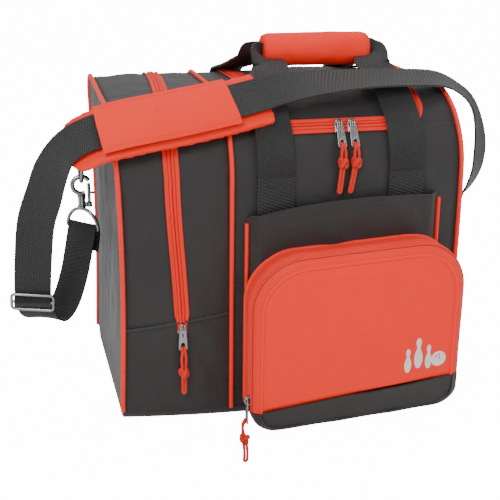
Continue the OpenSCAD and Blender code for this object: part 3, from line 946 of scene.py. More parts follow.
@dataclass
class Shell:
    """Cloth panels of both sections, with their seams, piping and topstitching."""

    form: Form
    wardrobe: Wardrobe
    thick: float = 3.2
    piping_r: float = 2.5
    cell: float = 4.0
    seam_margin: tuple[float, float] = (8.0, 34.0)
    seam_roll: float = 7.0

    def loose(self, s: float, x: float, near: float, amount: float) -> Vector:
        """Place on a panel: folded in the open, and drawn in near its seams.

        Args:
            s: Distance along the profile.
            x: X of the point.
            near: Distance to the nearest seam.
            amount: Strength of the folds.

        Returns:
            The place.
        """
        form = self.form
        lift = form.folds(form.at(s, x), amount) * smooth(near, *self.seam_margin)
        return form.at(s, x, lift - (1 - smooth(near, 0, self.seam_roll)))

    def panel(self, name: str, s0: float, s1: float, x0: float | Callable[[float], float],
              x1: float | Callable[[float], float], node: str | None, body: str = "bag",
              folds: float = 1.0, low: Callable[[float], float] | None = None,
              ) -> bpy.types.Object:
        """One sewn panel of the shell.

        Args:
            name: Name of the piece.
            s0: Lower limit along the profile.
            s1: Upper limit along the profile.
            x0: Left limit, a number or a function of the distance along the profile.
            x1: Right limit, the same.
            node: The frame's solid that it replaces.
            body: The body it rides on.
            folds: Strength of the loose folds.
            low: Lower limit along the profile at an x, where the seam isn't level.

        Returns:
            The panel.
        """
        form = self.form
        left = x0 if callable(x0) else lambda _s: x0
        right = x1 if callable(x1) else lambda _s: x1
        wide = right(s0) - left(s0)

        def place(u: float, v: float) -> Vector:
            """Place of a point of the panel."""
            s = s0 + (s1 - s0) * v
            x = left(s) + (right(s) - left(s)) * u
            if low:
                base = low(x)
                s = base + (s1 - base) * v
            near = min(x - left(s), right(s) - x, s - s0, s1 - s)
            return self.loose(s, x, near, folds * form.calm(s, x))

        middle = form.profile((s0 + s1) / 2)
        obj = cloth(name, max(4, int(wide / self.cell)), max(4, int((s1 - s0) / self.cell)),
                    place, (wide, s1 - s0), self.thick, (0, middle[2], middle[3]))
        self.wardrobe.dress(obj, BLACK_CLOTH, Slot.BLACK, body)
        if node:
            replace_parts(obj, node)
        return obj

    def end_panel(self, side: int, node: str) -> bpy.types.Object:
        """An end of the bag, nearly flat, which bulges and creases a little."""
        form = self.form

        def place(u: float, v: float) -> Vector:
            """Place of a point of the end."""
            z = form.height * math.sin(v * math.pi / 2) ** 0.9
            y = form.front_y(z) + (form.back_y(z) - form.front_y(z)) * u
            full = hump(u, 0, 1) ** 0.6 * hump(v, 0, 1) ** 0.6
            ripple = form.folds(Vector((y * 1.2, 40.0 * side, z)), 0.9) * full
            x = side * (form.half_w - 0.5 + 3 * full) + side * ripple
            point = form.soft(Vector((x, y, z)))
            point.z = max(point.z, 0.0)
            return point

        obj = cloth(f"{node}_cloth", 58, 80, place, (2 * form.half_d, form.height),
                    self.thick, (side, 0, 0))
        self.wardrobe.dress(obj, BLACK_CLOTH, Slot.BLACK, "bag")
        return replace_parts(obj, node)

    def base(self) -> None:
        """The bottom panel, rolled up at its front and rear edges."""
        form = self.form
        bend = form.foot_r * math.pi / 2
        flat = 2 * (form.half_d - form.foot_r)
        total = flat + 2 * bend

        def place(u: float, v: float) -> Vector:
            """Place of a point of the bottom."""
            s = total * v
            x = -form.half_w + 1 + (2 * form.half_w - 2) * u
            turn = clamp(min(s, total - s) / bend)
            a = turn * math.pi / 2
            y = form.half_d - form.foot_r * (1 - math.cos(a))
            y = form.half_d - form.foot_r - (s - bend) if turn >= 1 else y
            y = -y if turn < 1 and s > total / 2 else y
            return form.soft(Vector((x, -y, form.foot_r * (1 - math.sin(a)) + 0.02)))

        obj = cloth("base_cloth", 60, 56, place, (2 * form.half_w, total), self.thick, (0, 0, -1))
        self.wardrobe.dress(obj, BLACK_CLOTH, Slot.BLACK, "bag", "base_panel")
        reach = form.half_d - form.foot_r

        def board(u: float, v: float) -> Vector:
            """Place of a point of the stiffener."""
            return form.soft(Vector(((2 * u - 1) * (form.half_w - 7), (2 * v - 1) * reach, 5.4)))

        stiff = cloth("base_board_foam", 40, 24, board, (2 * form.half_w, 2 * reach), -3.0,
                      (0, 0, 1))
        self.wardrobe.dress(stiff, FOAM, Slot.FOAM, "bag", "base_board")

    def welt(self, name: str, x: float, node: str) -> None:
        """Piping over the front, the top and the back at one seam."""
        form = self.form
        points = [form.at(s, x, 1.6) for s in
                  (form.total * k / 150 for k in range(151))]
        obj = tube(name, points, self.piping_r)
        self.wardrobe.dress(obj, WELT, Slot.TRIM, "bag", node)
        for side in (-1, 1):
            line = [form.at(s, x + side * 5.5, 0.1) for s in
                    (form.total * k / 150 for k in range(151))]
            if abs(x + side * 5.5) < form.half_w:
                row = stitching(f"{name}_stitches_{'left' if side < 0 else 'right'}", line)
                self.wardrobe.dress(row, THREAD, Slot.BLACK, "bag")

    def build(self) -> None:
        """Build every panel."""
        form = self.form
        mid = form.front_arc(form.lid_angle)
        edge, split = form.half_w, form.split
        self.panel("front_cloth", 0, mid, split, edge, "front_panel")
        self.panel("top_left_cloth", mid, form.hinge, split, form.lid_left, "top_strip_left",
                   folds=0.4)
        self.panel("top_right_cloth", mid, form.hinge, form.lid_right, edge, "top_strip_right",
                   folds=0.4)
        self.panel("back_cloth", form.hinge, form.total, split, edge, "back_panel")
        lid = self.panel("lid_cloth", mid, form.hinge, form.lid_left, form.lid_right, None,
                         folds=0.7)
        lid.parent = None
        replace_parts(lid, "lid")
        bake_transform(lid)
        self.shoe_panels()
        self.base()
        self.end_panel(-1, "left_end_panel")
        self.end_panel(1, "right_end_panel")
        self.welt("piping_left_welt", -edge, "piping_left")
        self.welt("piping_split_welt", split, "piping_split")
        self.welt("piping_right_welt", edge, "piping_right")

    def shoe_panels(self) -> None:
        """Panels of the shoe section, the flap among them."""
        form = self.form
        edge, split, foot = form.half_w, form.split, form.foot_r
        head = form.flap_top - foot

        def seam(x: float) -> float:
            """Distance along the profile at the level seam."""
            return form.seam_z(x) - foot

        def floor_seam(u: float, v: float) -> Vector:
            """Place of a point of the lower front panel."""
            x = -edge + (edge + split) * u
            s = seam(x) * v
            return self.loose(s, x, min(x + edge, split - x, seam(x) - s), 1.0)

        lower = cloth("shoe_lower_cloth", 29, 27, floor_seam, (edge + split, form.seam_low - foot),
                      self.thick)
        self.wardrobe.dress(lower, BLACK_CLOTH, Slot.BLACK, "bag", "shoe_front_lower")
        self.panel("shoe_right_cloth", form.seam_low - foot, head,
                   form.shoe_line, split, "shoe_front_right", low=seam)
        self.panel("shoe_flap_cloth", form.seam_low - foot, head, -edge + 4,
                   form.shoe_line, "shoe_flap", "shoe_flap", low=seam)
        self.panel("shoe_top_cloth", head, form.rear_start, -edge, split, "shoe_top")
        self.panel("shoe_back_cloth", form.rear_start, form.total, -edge, split, "shoe_back")
        line = [form.at(seam(x) + 3, x, 0.2) for x in
                (-edge + 4 + (edge + split - 8) * k / 40 for k in range(41))
                if abs(x - form.shoe_line(100)) > 12]
        row = stitching("level_seam_stitches", line)
        self.wardrobe.dress(row, THREAD, Slot.BLACK, "bag")
        fold = tube("level_seam_fold", [form.at(seam(x), x, 0.5) for x in
                                        (-edge + 3 + (edge + split - 6) * k / 40
                                         for k in range(41))], 1.3, sides=4)
        self.wardrobe.dress(fold, THREAD, Slot.BLACK, "bag")


# ---------------------------------------------------------------------------
# Zips
# ---------------------------------------------------------------------------


class Half(Enum):
    """Which part of a zip band a piece covers, by its share of the width."""

    LOWER = (-1.0, -0.012)
    UPPER = (0.012, 1.0)
    WHOLE = (-1.0, 1.0)


@dataclass
class Zips:
    """Reversed-coil zip bands with folded tape edges, laid over the shell."""

    form: Form
    wardrobe: Wardrobe
    half: float = 8.2
    coil: float = 1.75
    coil_rise: float = 1.9
    fold_rise: float = 1.3
    corner: float = 24.0

    def relief(self, o: float) -> float:
        """Height of the band at a distance from its seam."""
        a = abs(o)
        coil = self.coil_rise * math.exp(-(((a - self.coil) / 1.1) ** 2))
        tape = self.fold_rise * math.exp(-(((a - self.half + 1.3) / 1.1) ** 2))
        return 1.0 + coil + tape

    def band(self, name: str, line: Sequence[tuple[float, float]], half: Half,
             step: float = 3.0, narrow: bool = False) -> bpy.types.Object:
        """A zip band, or half of one, along a line on the shell.

        Args:
            name: Name of the piece.
            line: X and distance along the profile of each point of the seam.
            half: The part of the band.
            step: Length of a square in millimetres.
            narrow: Whether the band draws in where it starts, under a slider.

        Returns:
            The band, without a body.
        """
        points = [Vector((x, s, 0)) for x, s in line]
        marks = stations(points)
        total = marks[-1]
        low, high = half.value

        def place(u: float, v: float) -> Vector:
            """Place of a point of the band."""
            d = total * u
            here = along(points, marks, d)
            back = along(points, marks, max(d - 1.5, 0))
            ahead = along(points, marks, min(d + 1.5, total))
            run = (ahead - back).normalized()
            snug = 0.62 + 0.38 * smooth(d, 2, 22) if narrow else 1.0
            o = self.half * snug * (low + (high - low) * v)
            return self.form.at(here.y + run.x * o, here.x - run.y * o, self.relief(o))

        rows = 30 if half is Half.WHOLE else 16
        middle = along(points, marks, total / 2)
        face = self.form.profile(middle.y)
        wide = self.half * (high - low)
        return cloth(name, int(total / step), rows, place, (total, wide), 0.9,
                     (0, face[2], face[3]), self.half * low)

    def lid_line(self) -> list[tuple[float, float]]:
        """Seam of the lid's zip: down the left side, round the front, up the right side."""
        form, r = self.form, self.corner
        left, right, low = form.lid_left, form.lid_right, form.front_arc(form.lid_angle)
        end = form.hinge - 2
        arc = quarter(10)
        return [
            (left, end),
            *((left, end - (end - low - r) * k / 30) for k in range(1, 30)),
            *((left + r - r * math.cos(a), low + r - r * math.sin(a)) for a in arc),
            *((left + r + (right - left - 2 * r) * k / 30, low) for k in range(1, 30)),
            *((right - r + r * math.sin(a), low + r - r * math.cos(a)) for a in arc),
            *((right, low + r + (end - low - r) * k / 30) for k in range(1, 31)),
        ]

    def build(self) -> None:
        """Build the lid's zip and the shoe section's zip."""
        form = self.form
        outer = self.band("lid_zip_outer", self.lid_line(), Half.LOWER)
        self.wardrobe.dress(outer, ZIP_TAPE, Slot.TRIM, "bag")
        inner = self.band("lid_zip_inner", self.lid_line(), Half.UPPER)
        self.wardrobe.dress(inner, ZIP_TAPE, Slot.TRIM, "lid", "lid_zip")
        foot = form.seam_z(-118) - form.foot_r - 9
        head = form.flap_top - form.foot_r
        front = [(form.shoe_line(s), s) for s in
                 (foot + (head - foot) * k / 40 for k in range(41))]
        over = [(form.shoe_line(s), s) for s in
                (head + (form.rear_start - head) * k / 60 for k in range(61))]
        right = self.band("shoe_zip_root", front, Half.LOWER, narrow=True)
        self.wardrobe.dress(right, ZIP_TAPE, Slot.TRIM, "bag", "shoe_zip")
        left = self.band("shoe_zip_flap", front, Half.UPPER, narrow=True)
        self.wardrobe.dress(left, ZIP_TAPE, Slot.TRIM, "shoe_flap")
        top = self.band("shoe_zip_over", over, Half.WHOLE)
        self.wardrobe.dress(top, ZIP_TAPE, Slot.TRIM, "bag")


# ---------------------------------------------------------------------------
# Slip pocket and accessory pocket
# ---------------------------------------------------------------------------


@dataclass
class Pocket:
    """The accessory pocket on its slip panel."""

    form: Form
    wardrobe: Wardrobe
    left: float = -51.0
    right: float = 172.0
    low: float = 6.0
    top: float = 199.0
    top_r: float = 50.0
    low_r: float = 22.0
    back_y: float = -130.3
    zip_y: float = -157.5
    front_y: float = -171.0
    edge_r: float = 7.0
    slip_left: float = -49.0
    slip_right: float = 156.0
    slip_low: float = 14.0
    slip_top: float = 236.0
    slip_y: float = -130.0
    tilt: float = 0.094
    sag: float = 11.0
    lift: float = 11.0

    def base_line(self, x: float) -> float:
        """Height of the slanted edge of the black base at an x."""
        return 20 + self.tilt * (x + 100) + 3

    def droop(self, p: Vector) -> Vector:
        """The pocket sags towards its upper left."""
        share = clamp((self.right - p.x) / (self.right - self.left))
        down = self.sag * share * smooth(p.z, 30, self.top)
        up = (3 + self.lift * (1 - share) ** 1.3) * (1 - smooth(p.z, 0, 70))
        return Vector((p.x, p.y, p.z - down + up))

    def rim(self, inset: float = 0.0) -> list[Vector]:
        """Outline above the base, from the left end of the base line to the right one."""
        left, right, top = self.left + inset, self.right - inset, self.top - inset
        r = self.top_r - inset * 0.6
        start, end = self.base_line(self.left), self.base_line(self.right)
        arc = quarter(14)
        return [
            *(Vector((left, 0, start + (top - r - start) * k / 20)) for k in range(20)),
            *(Vector((left + r - r * math.cos(a), 0, top - r + r * math.sin(a))) for a in arc),
            *(Vector((left + r + (right - left - 2 * r) * k / 20, 0, top))
              for k in range(1, 20)),
            *(Vector((right - r + r * math.sin(a), 0, top - r + r * math.cos(a))) for a in arc),
            *(Vector((right, 0, top - r - (top - r - end) * k / 20)) for k in range(1, 21)),
        ]

    def foot(self, inset: float = 0.0) -> list[Vector]:
        """Outline below the base line, from its right end to its left one."""
        left, right, low = self.left + inset, self.right - inset, self.low + inset * 0.3
        r = self.low_r - inset * 0.3
        arc = quarter(12)
        return [
            Vector((right, 0, self.base_line(self.right))),
            Vector((right, 0, (self.base_line(self.right) + low + r) / 2)),
            *(Vector((right - r + r * math.cos(a), 0, low + r - r * math.sin(a))) for a in arc),
            *(Vector((right - r - (right - left - 2 * r) * k / 20, 0, low))
              for k in range(1, 20)),
            *(Vector((left + r - r * math.sin(a), 0, low + r - r * math.cos(a)))
              for a in arc[:10]),
            Vector((left, 0, self.base_line(self.left))),
        ]

    def wall(self, name: str, line: Sequence[Vector], inset_line: Sequence[Vector],
             rows: int, relief: Callable[[float], float]) -> bpy.types.Object:
        """The side wall of the pocket, with a rounded front edge.

        Args:
            name: Name of the piece.
            line: Outline at the full size.
            inset_line: The same outline, inset at the front.
            rows: Squares from back to front.
            relief: How far the wall stands out at a Y.

        Returns:
            The wall, without material.
        """
        marks, near = stations(line), stations(inset_line)

        def place(u: float, v: float) -> Vector:
            """Place of a point of the wall."""
            y = self.back_y + (self.front_y - self.back_y) * v
            turn = clamp((self.front_y + self.edge_r - y) / self.edge_r)
            share = 1 - math.sqrt(max(0.0, 1 - turn**2))
            a = along(line, marks, marks[-1] * u)
            b = along(inset_line, near, near[-1] * u)
            here = mix(a, b, share)
            d = 0.004
            run = (along(line, marks, marks[-1] * min(u + d, 1))
                   - along(line, marks, marks[-1] * max(u - d, 0))).normalized()
            out = Vector((-run.z, 0, run.x))
            here += out * relief(y) * (1 - share)
            here.y = y + 0.8 * noise.noise(Vector((u * 9, v, 2.0)))
            return self.droop(here)

        return cloth(name, int(marks[-1] / 3), rows, place,
                     (marks[-1], self.front_y - self.back_y), 2.5, (0, 0, 1),
                     self.back_y - self.zip_y)

    def face(self, x: float, z: float) -> float:
        """Y of the soft front at a place, bulged and creased."""
        full = hump(x, self.left - 8, self.right + 8) ** 0.5 * hump(z, -10, self.top + 12) ** 0.5
        pull = noise.noise(Vector((x * 0.022 + z * 0.006, z * 0.01, 5.5)))
        crease = noise.noise(Vector((x * 0.05 + z * 0.012, 1.2, z * 0.012)))
        near_top = smooth(z, 90, self.top)
        return self.front_y - 5 * full - 2.6 * pull - 2.0 * crease * near_top

    def door(self) -> None:
        """The orange front above the base."""
        middle, wide = (self.left + self.right) / 2, (self.right - self.left) / 2 - self.edge_r
        top = self.top - self.edge_r
        r = self.top_r - self.edge_r * 0.6

        def place(u: float, v: float) -> Vector:
            """Place of a point of the front."""
            share = 2 * u - 1
            low = self.base_line(middle + share * wide)
            z = low + (top - low) * v
            over = clamp((z - top + r) / r)
            x = middle + share * (wide - r + r * math.sqrt(max(0.0, 1 - over**2)))
            rim = min(smooth(1 - abs(share), 0, 0.07), smooth(1 - v, 0, 0.08),
                      smooth(v, 0, 0.04))
            y = self.front_y * (1 - rim) + self.face(x, z) * rim
            return self.droop(Vector((x, y + 0.6 * (1 - rim), z)))

        obj = cloth("pocket_door_cloth", 84, 62, place, (2 * wide, top - 30), 2.4)
        self.wardrobe.dress(obj, ORANGE_CLOTH, Slot.ORANGE, "pocket_door", "pocket_door")
        inset = [self.droop(Vector((p.x, self.front_y + 0.3, p.z)))
                 for p in self.rim(self.edge_r)]
        edge = tube("pocket_front_piping", inset, 1.7)
        self.wardrobe.dress(edge, WELT, Slot.TRIM, "pocket_door")
        self.print()

    def print(self) -> None:
        """A small print of three plain pins and a ball, low on the right."""
        pin = [(0, 0), (1.6, 0.2), (3.2, 4), (3.9, 9), (3.1, 13.5), (1.7, 17.5), (1.6, 19.5),
               (2.3, 22), (2.2, 24.6), (1.2, 26.6), (0, 27.2)]
        outline = [tuple(p.to_2d()) for p in catmull([(x, y, 0) for x, y in pin], 4)]
        outline += [(-x, y) for x, y in reversed(outline[1:-1])]
        parts = []
        for k, (x, z, size) in enumerate(((112, 62, 1.0), (124, 66, 1.25), (136, 63.5, 1.0))):
            shape = [(px * size, py * size) for px, py in outline]
            parts.append(plate(f"pin_{k}", shape, [], 0.5, 0.1,
                               Matrix.Translation(Vector((x, 0, z)) * MM)))
        ball = ellipse(0, 0, 8.5, 8.5, 40)
        holes = [ellipse(cx, cy, 1.3, 1.3, 16) for cx, cy in ((-3, 3), (0.6, 4.4), (1.2, 0.4))]
        parts.append(plate("ball_mark", ball, holes, 0.5, 0.1,
                           Matrix.Translation(Vector((148, 0, 73)) * MM)))
        obj = join("pocket_print", parts)
        finer = obj.modifiers.new("finer", "SUBSURF")
        finer.subdivision_type = "SIMPLE"
        finer.levels = finer.render_levels = 1
        apply_all(obj)
        for vertex in obj.data.vertices:
            p = vertex.co
            p.y += (self.face(p.x / MM, p.z / MM) - 0.15) * MM
            vertex.co = self.droop(p / MM) * MM
        self.wardrobe.dress(obj, PRINT, Slot.ORANGE, "pocket_door")

    def base(self) -> None:
        """The black bottom: a wall below the base line and a lip over the front."""
        obj = self.wall("pocket_base_wall", self.foot(), self.foot(self.edge_r), 16,
                        lambda _y: 0.3)
        self.wardrobe.dress(obj, BLACK_CLOTH, Slot.BLACK, "bag")
        left, right = self.left + self.edge_r, self.right - self.edge_r

        def place(u: float, v: float) -> Vector:
            """Place of a point of the lip."""
            x = left + (right - left) * u
            near = min(x - left, right - x)
            r = self.low_r - 2
            drop = r - math.sqrt(max(0.0, r**2 - max(0.0, r - near) ** 2))
            low = self.low + 2 + drop * 0.8
            high = self.base_line(x) + 1
            z = low + (high - low) * v
            y = self.face(x, z) * v + self.front_y * (1 - v)
            return self.droop(Vector((x, y - 1.1 + 1.4 * (1 - v) ** 3, z)))

        lip = cloth("pocket_base_lip", 84, 12, place, (right - left, 32), 2.4)
        self.wardrobe.dress(lip, BLACK_CLOTH, Slot.BLACK, "bag", "pocket_base")

        def ground(u: float, v: float) -> Vector:
            """Place of a point of the lining on the pocket's bottom."""
            x = self.left + 3 + (self.right - self.left - 6) * u
            near = min(x - self.left, self.right - x)
            drop = self.low_r - math.sqrt(
                max(0.0, self.low_r**2 - max(0.0, self.low_r - near) ** 2))
            y = self.front_y + 1 + (self.back_y - self.front_y - 2) * v
            return self.droop(Vector((x, y, self.low + 5 + drop * 0.9)))

        lining = cloth("pocket_bottom_lining", 60, 12, ground,
                       (self.right - self.left - 6, self.back_y - self.front_y - 2), 1.5,
                       (0, 0, 1))
        self.wardrobe.dress(lining, BLACK_CLOTH, Slot.BLACK, "bag")

    def slip(self) -> None:
        """The open panel behind the pocket, and the piping down its sides."""
        form = self.form

        def place(u: float, v: float) -> Vector:
            """Place of a point of the panel."""
            z = self.slip_low + (self.slip_top - self.slip_low) * v
            side = self.slip_left + (self.slip_right - self.slip_left) * u
            z += (5 * hump(u, 0, 1) + 16 * math.sqrt(u) - 11) * v**2
            rim = min(smooth(u, 0, 0.06), smooth(1 - u, 0, 0.06))
            skin = form.at(z - form.foot_r, side, 1.0)
            y = skin.y * (1 - rim) + (self.slip_y - 2 * v - form.folds(
                Vector((side, 3, z)), 0.8)) * rim
            return Vector((skin.x, y, z))

        obj = cloth("slip_panel_cloth", 56, 56, place,
                    (self.slip_right - self.slip_left, self.slip_top - self.slip_low), 2.2)
        self.wardrobe.dress(obj, BLACK_CLOTH, Slot.BLACK, "bag", "slip_panel")
        rows = [stitching(f"slip_hem_{k}", [place(i / 60, high) + Vector((0, -0.3, 0))
                                            for i in range(3, 58)])
                for k, high in enumerate((0.965, 0.99))]
        self.wardrobe.dress(join("slip_hem_stitches", rows), THREAD, Slot.BLACK, "bag")
        sides = []
        for k, share in enumerate((0.0, 1.0)):
            points = [place(share, v / 40) + Vector((0, -1.6, 0)) for v in range(1, 40)]
            sides.append(tube(f"slip_side_{k}", points, 2.2))
        edge = join("slip_side_piping", sides)
        self.wardrobe.dress(edge, WELT, Slot.TRIM, "bag", "slip_piping")

    def build(self) -> None:
        """Build the pocket."""
        zips = Zips(self.form, self.wardrobe)

        def relief(y: float) -> float:
            """The zip's ridges on the side wall."""
            o = y - self.zip_y
            return 0.4 + 1.3 * (zips.relief(o) if abs(o) < zips.half + 2.5 else 1.0)

        wall = self.wall("pocket_gusset_zip", self.rim(), self.rim(self.edge_r), 60, relief)
        self.wardrobe.dress(wall, ZIP_TAPE, Slot.TRIM, "bag", "pocket_gusset")
        back = [self.droop(Vector((p.x, self.back_y - 1.5, p.z))) for p in self.rim(-1.5)]
        welt = tube("pocket_back_piping", back, 2.0)
        self.wardrobe.dress(welt, WELT, Slot.TRIM, "bag")
        self.door()
        self.base()
        self.slip()


# ---------------------------------------------------------------------------
# Handle
# ---------------------------------------------------------------------------


@dataclass
class Handle:
    """Two webbing loops from the front and back, held together by a padded grip."""

    form: Form
    wardrobe: Wardrobe
    middle: float = 50.5
    half: float = 69.5
    width: float = 38.0
    thick: float = 2.4
    sewn_low: float = 6.0
    sewn_top: float = 254.0
    grip_y: float = -17.5
    grip_z: float = 378.5
    grip_d: float = 35.0
    grip_l: float = 118.0

    def strand(self, side: int, way: int) -> bpy.types.Object:
        """One strand of webbing, sewn to the bag and then free up to the grip.

        Args:
            side: -1 for the left strand, 1 for the right one.
            way: -1 for the front handle, 1 for the rear one.

        Returns:
            The strand, without material.
        """
        form = self.form
        x = self.middle + side * self.half
        start = self.sewn_low if way < 0 else form.total - self.sewn_low
        end = self.sewn_top if way < 0 else form.total - self.sewn_top
        sewn = [form.at(start + (end - start) * k / 44, x, 2.9) for k in range(45)]
        centre_y = way * form.half_d - way * (form.front_r if way < 0 else form.rear_r)
        centre_z = form.height - (form.front_r if way < 0 else form.rear_r)
        r = (form.front_r if way < 0 else form.rear_r) + 5.2
        leave = 50 if way < 0 else 84
        arc = [(centre_y + way * r * math.cos(math.radians(a)),
                centre_z + r * math.sin(math.radians(a)))
               for a in ([14, 26, 38, leave] if way < 0 else [22, 42, 63, leave])]
        over = [(-67, 351), (-45, 366)] if way < 0 else [(52, 354), (24, 366)]
        into = (self.grip_y + way * 8.5, self.grip_z - 3)
        inner = self.middle + side * (self.grip_l / 2)
        free = [sewn[-1], *(form.soft(Vector((x, y, z))) for y, z in arc),
                *(Vector((x - side * k, y, z)) for k, (y, z) in zip((4, 13), over)),
                Vector((inner + side * 5, *into)), Vector((inner - side * 12, *into))]
        curve = catmull(free, 7)
        centre = [*sewn[:-1], *curve]
        last = len(centre) - 1
        turn = 14

        def share(i: int) -> float:
            """How far the strand has turned towards the grip at a point."""
            return smooth(i, last - turn, last - 2)

        across = [Vector((1 - 0.95 * share(i), 0.25 * hump(share(i), 0, 1), side * share(i)))
                  for i in range(last + 1)]
        return ribbon(f"strand_{way}_{side}", centre, across,
                      lambda u: self.width * (1 - 0.5 * share(u * last)), self.thick, 14,
                      lambda o: -0.5 * (abs(o) / (self.width / 2)) ** 4, steps=2)

    def grip(self, way: int) -> bpy.types.Object:
        """Half of the padded grip, closed and blown up a little."""
        bpy.ops.object.select_all(action="DESELECT")
        bpy.ops.mesh.primitive_cylinder_add(vertices=48, radius=(self.grip_d / 2 + 0.3) * MM,
                                            depth=(self.grip_l + 1) * MM)
        obj = rename(bpy.context.object, "grip_front_pad" if way < 0 else "grip_rear_pad")
        obj.data.transform(
            Matrix.Translation(Vector((self.middle, self.grip_y, self.grip_z)) * MM)
            @ Matrix.Rotation(math.radians(90), 4, "Y"))
        alone(obj)
        bpy.ops.object.mode_set(mode="EDIT")
        bpy.ops.mesh.select_all(action="SELECT")
        bpy.ops.mesh.bisect(plane_co=(0, (self.grip_y + way * 0.5) * MM, 0),
                            plane_no=(0, -way, 0), use_fill=True, clear_outer=True)
        bpy.ops.object.mode_set(mode="OBJECT")
        swell(obj, 2.4, 2.2, 1.0)
        for vertex in obj.data.vertices:
            p = vertex.co / MM
            ends = smooth(abs(p.x - self.middle), self.grip_l / 2 - 9, self.grip_l / 2)
            ring = Vector((0, p.y - self.grip_y, p.z - self.grip_z))
            fold = noise.noise(Vector((p.x * 0.05, p.y * 0.07, p.z * 0.07)))
            p += ring.normalized() * (0.9 * fold - 1.6 * ends * smooth(ring.length, 8, 16))
            if (p.y - self.grip_y) * way < 0.25:
                p.y = self.grip_y + way * 0.25
            vertex.co = p * MM
        return obj

    def build(self) -> None:
        """Build both loops, the grip and the sewn boxes."""
        for way, label in ((-1, "front"), (1, "rear")):
            loop = join(f"handle_{label}_webbing", [self.strand(side, way) for side in (-1, 1)])
            self.wardrobe.dress(loop, BLACK_WEB, Slot.WEBBING, None,
                                f"webbing_{label}", f"handle_{label}")
            y = way * 0.12
            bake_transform(loop)
            grip = self.grip(way)
            self.wardrobe.dress(grip, PADDED_CLOTH, Slot.PADDING, f"handle_{label}")
            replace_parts(grip, f"grip_{label}")
            hems = []
            for z in (-11, 11):
                r = self.grip_d / 2 - 0.2
                y = self.grip_y + way * math.sqrt(r * r - z * z)
                line = [Vector((self.middle + self.grip_l * (k / 40 - 0.5) * 0.93, y,
                                self.grip_z + z)) for k in range(41)]
                hems.append(stitching(f"grip_hem_{z}", line))
            self.wardrobe.dress(join(f"grip_{label}_stitches", hems), ORANGE_THREAD, Slot.PADDING,
                                f"handle_{label}")
            self.boxes(way, label)

    def boxes(self, way: int, label: str) -> None:
        """Stitched boxes where the webbing leaves the bag, and rows down its edges."""
        form = self.form
        rows = []
        total = form.total

        def on(s: float, x: float) -> Vector:
            """Place just over the webbing."""
            return form.at(s if way < 0 else total - s, x, 4.4)

        for side in (-1, 1):
            x = self.middle + side * self.half
            for s0, s1, x0, x1 in ((212, 212, -15, 15), (248, 248, -15, 15), (212, 248, -15, -15),
                                   (212, 248, 15, 15), (212, 248, -15, 15), (248, 212, -15, 15),
                                   (8, 206, -16, -16), (8, 206, 16, 16)):
                line = [on(s0 + (s1 - s0) * k / 60, x + x0 + (x1 - x0) * k / 60)
                        for k in range(61)]
                rows.append(stitching("box_row", line))
        self.wardrobe.dress(join(f"handle_{label}_stitches", rows), THREAD, Slot.WEBBING, "bag")


# ---------------------------------------------------------------------------
# Metal parts
# ---------------------------------------------------------------------------


def block(name: str, size: Sequence[float], centre: Sequence[float],
          bevel: float) -> bpy.types.Object:
    """A box with rounded edges, its size and centre in millimetres."""
    bpy.ops.object.select_all(action="DESELECT")
    bpy.ops.mesh.primitive_cube_add(size=1)
    obj = rename(bpy.context.object, name)
    obj.data.transform(Matrix.Translation(Vector(centre) * MM)
                       @ Matrix.Diagonal((*(s * MM for s in size), 1)))
    rim = obj.modifiers.new("rims", "BEVEL")
    rim.width = bevel * MM
    rim.segments = 3
    apply_all(obj)
    return shade(obj, 35)


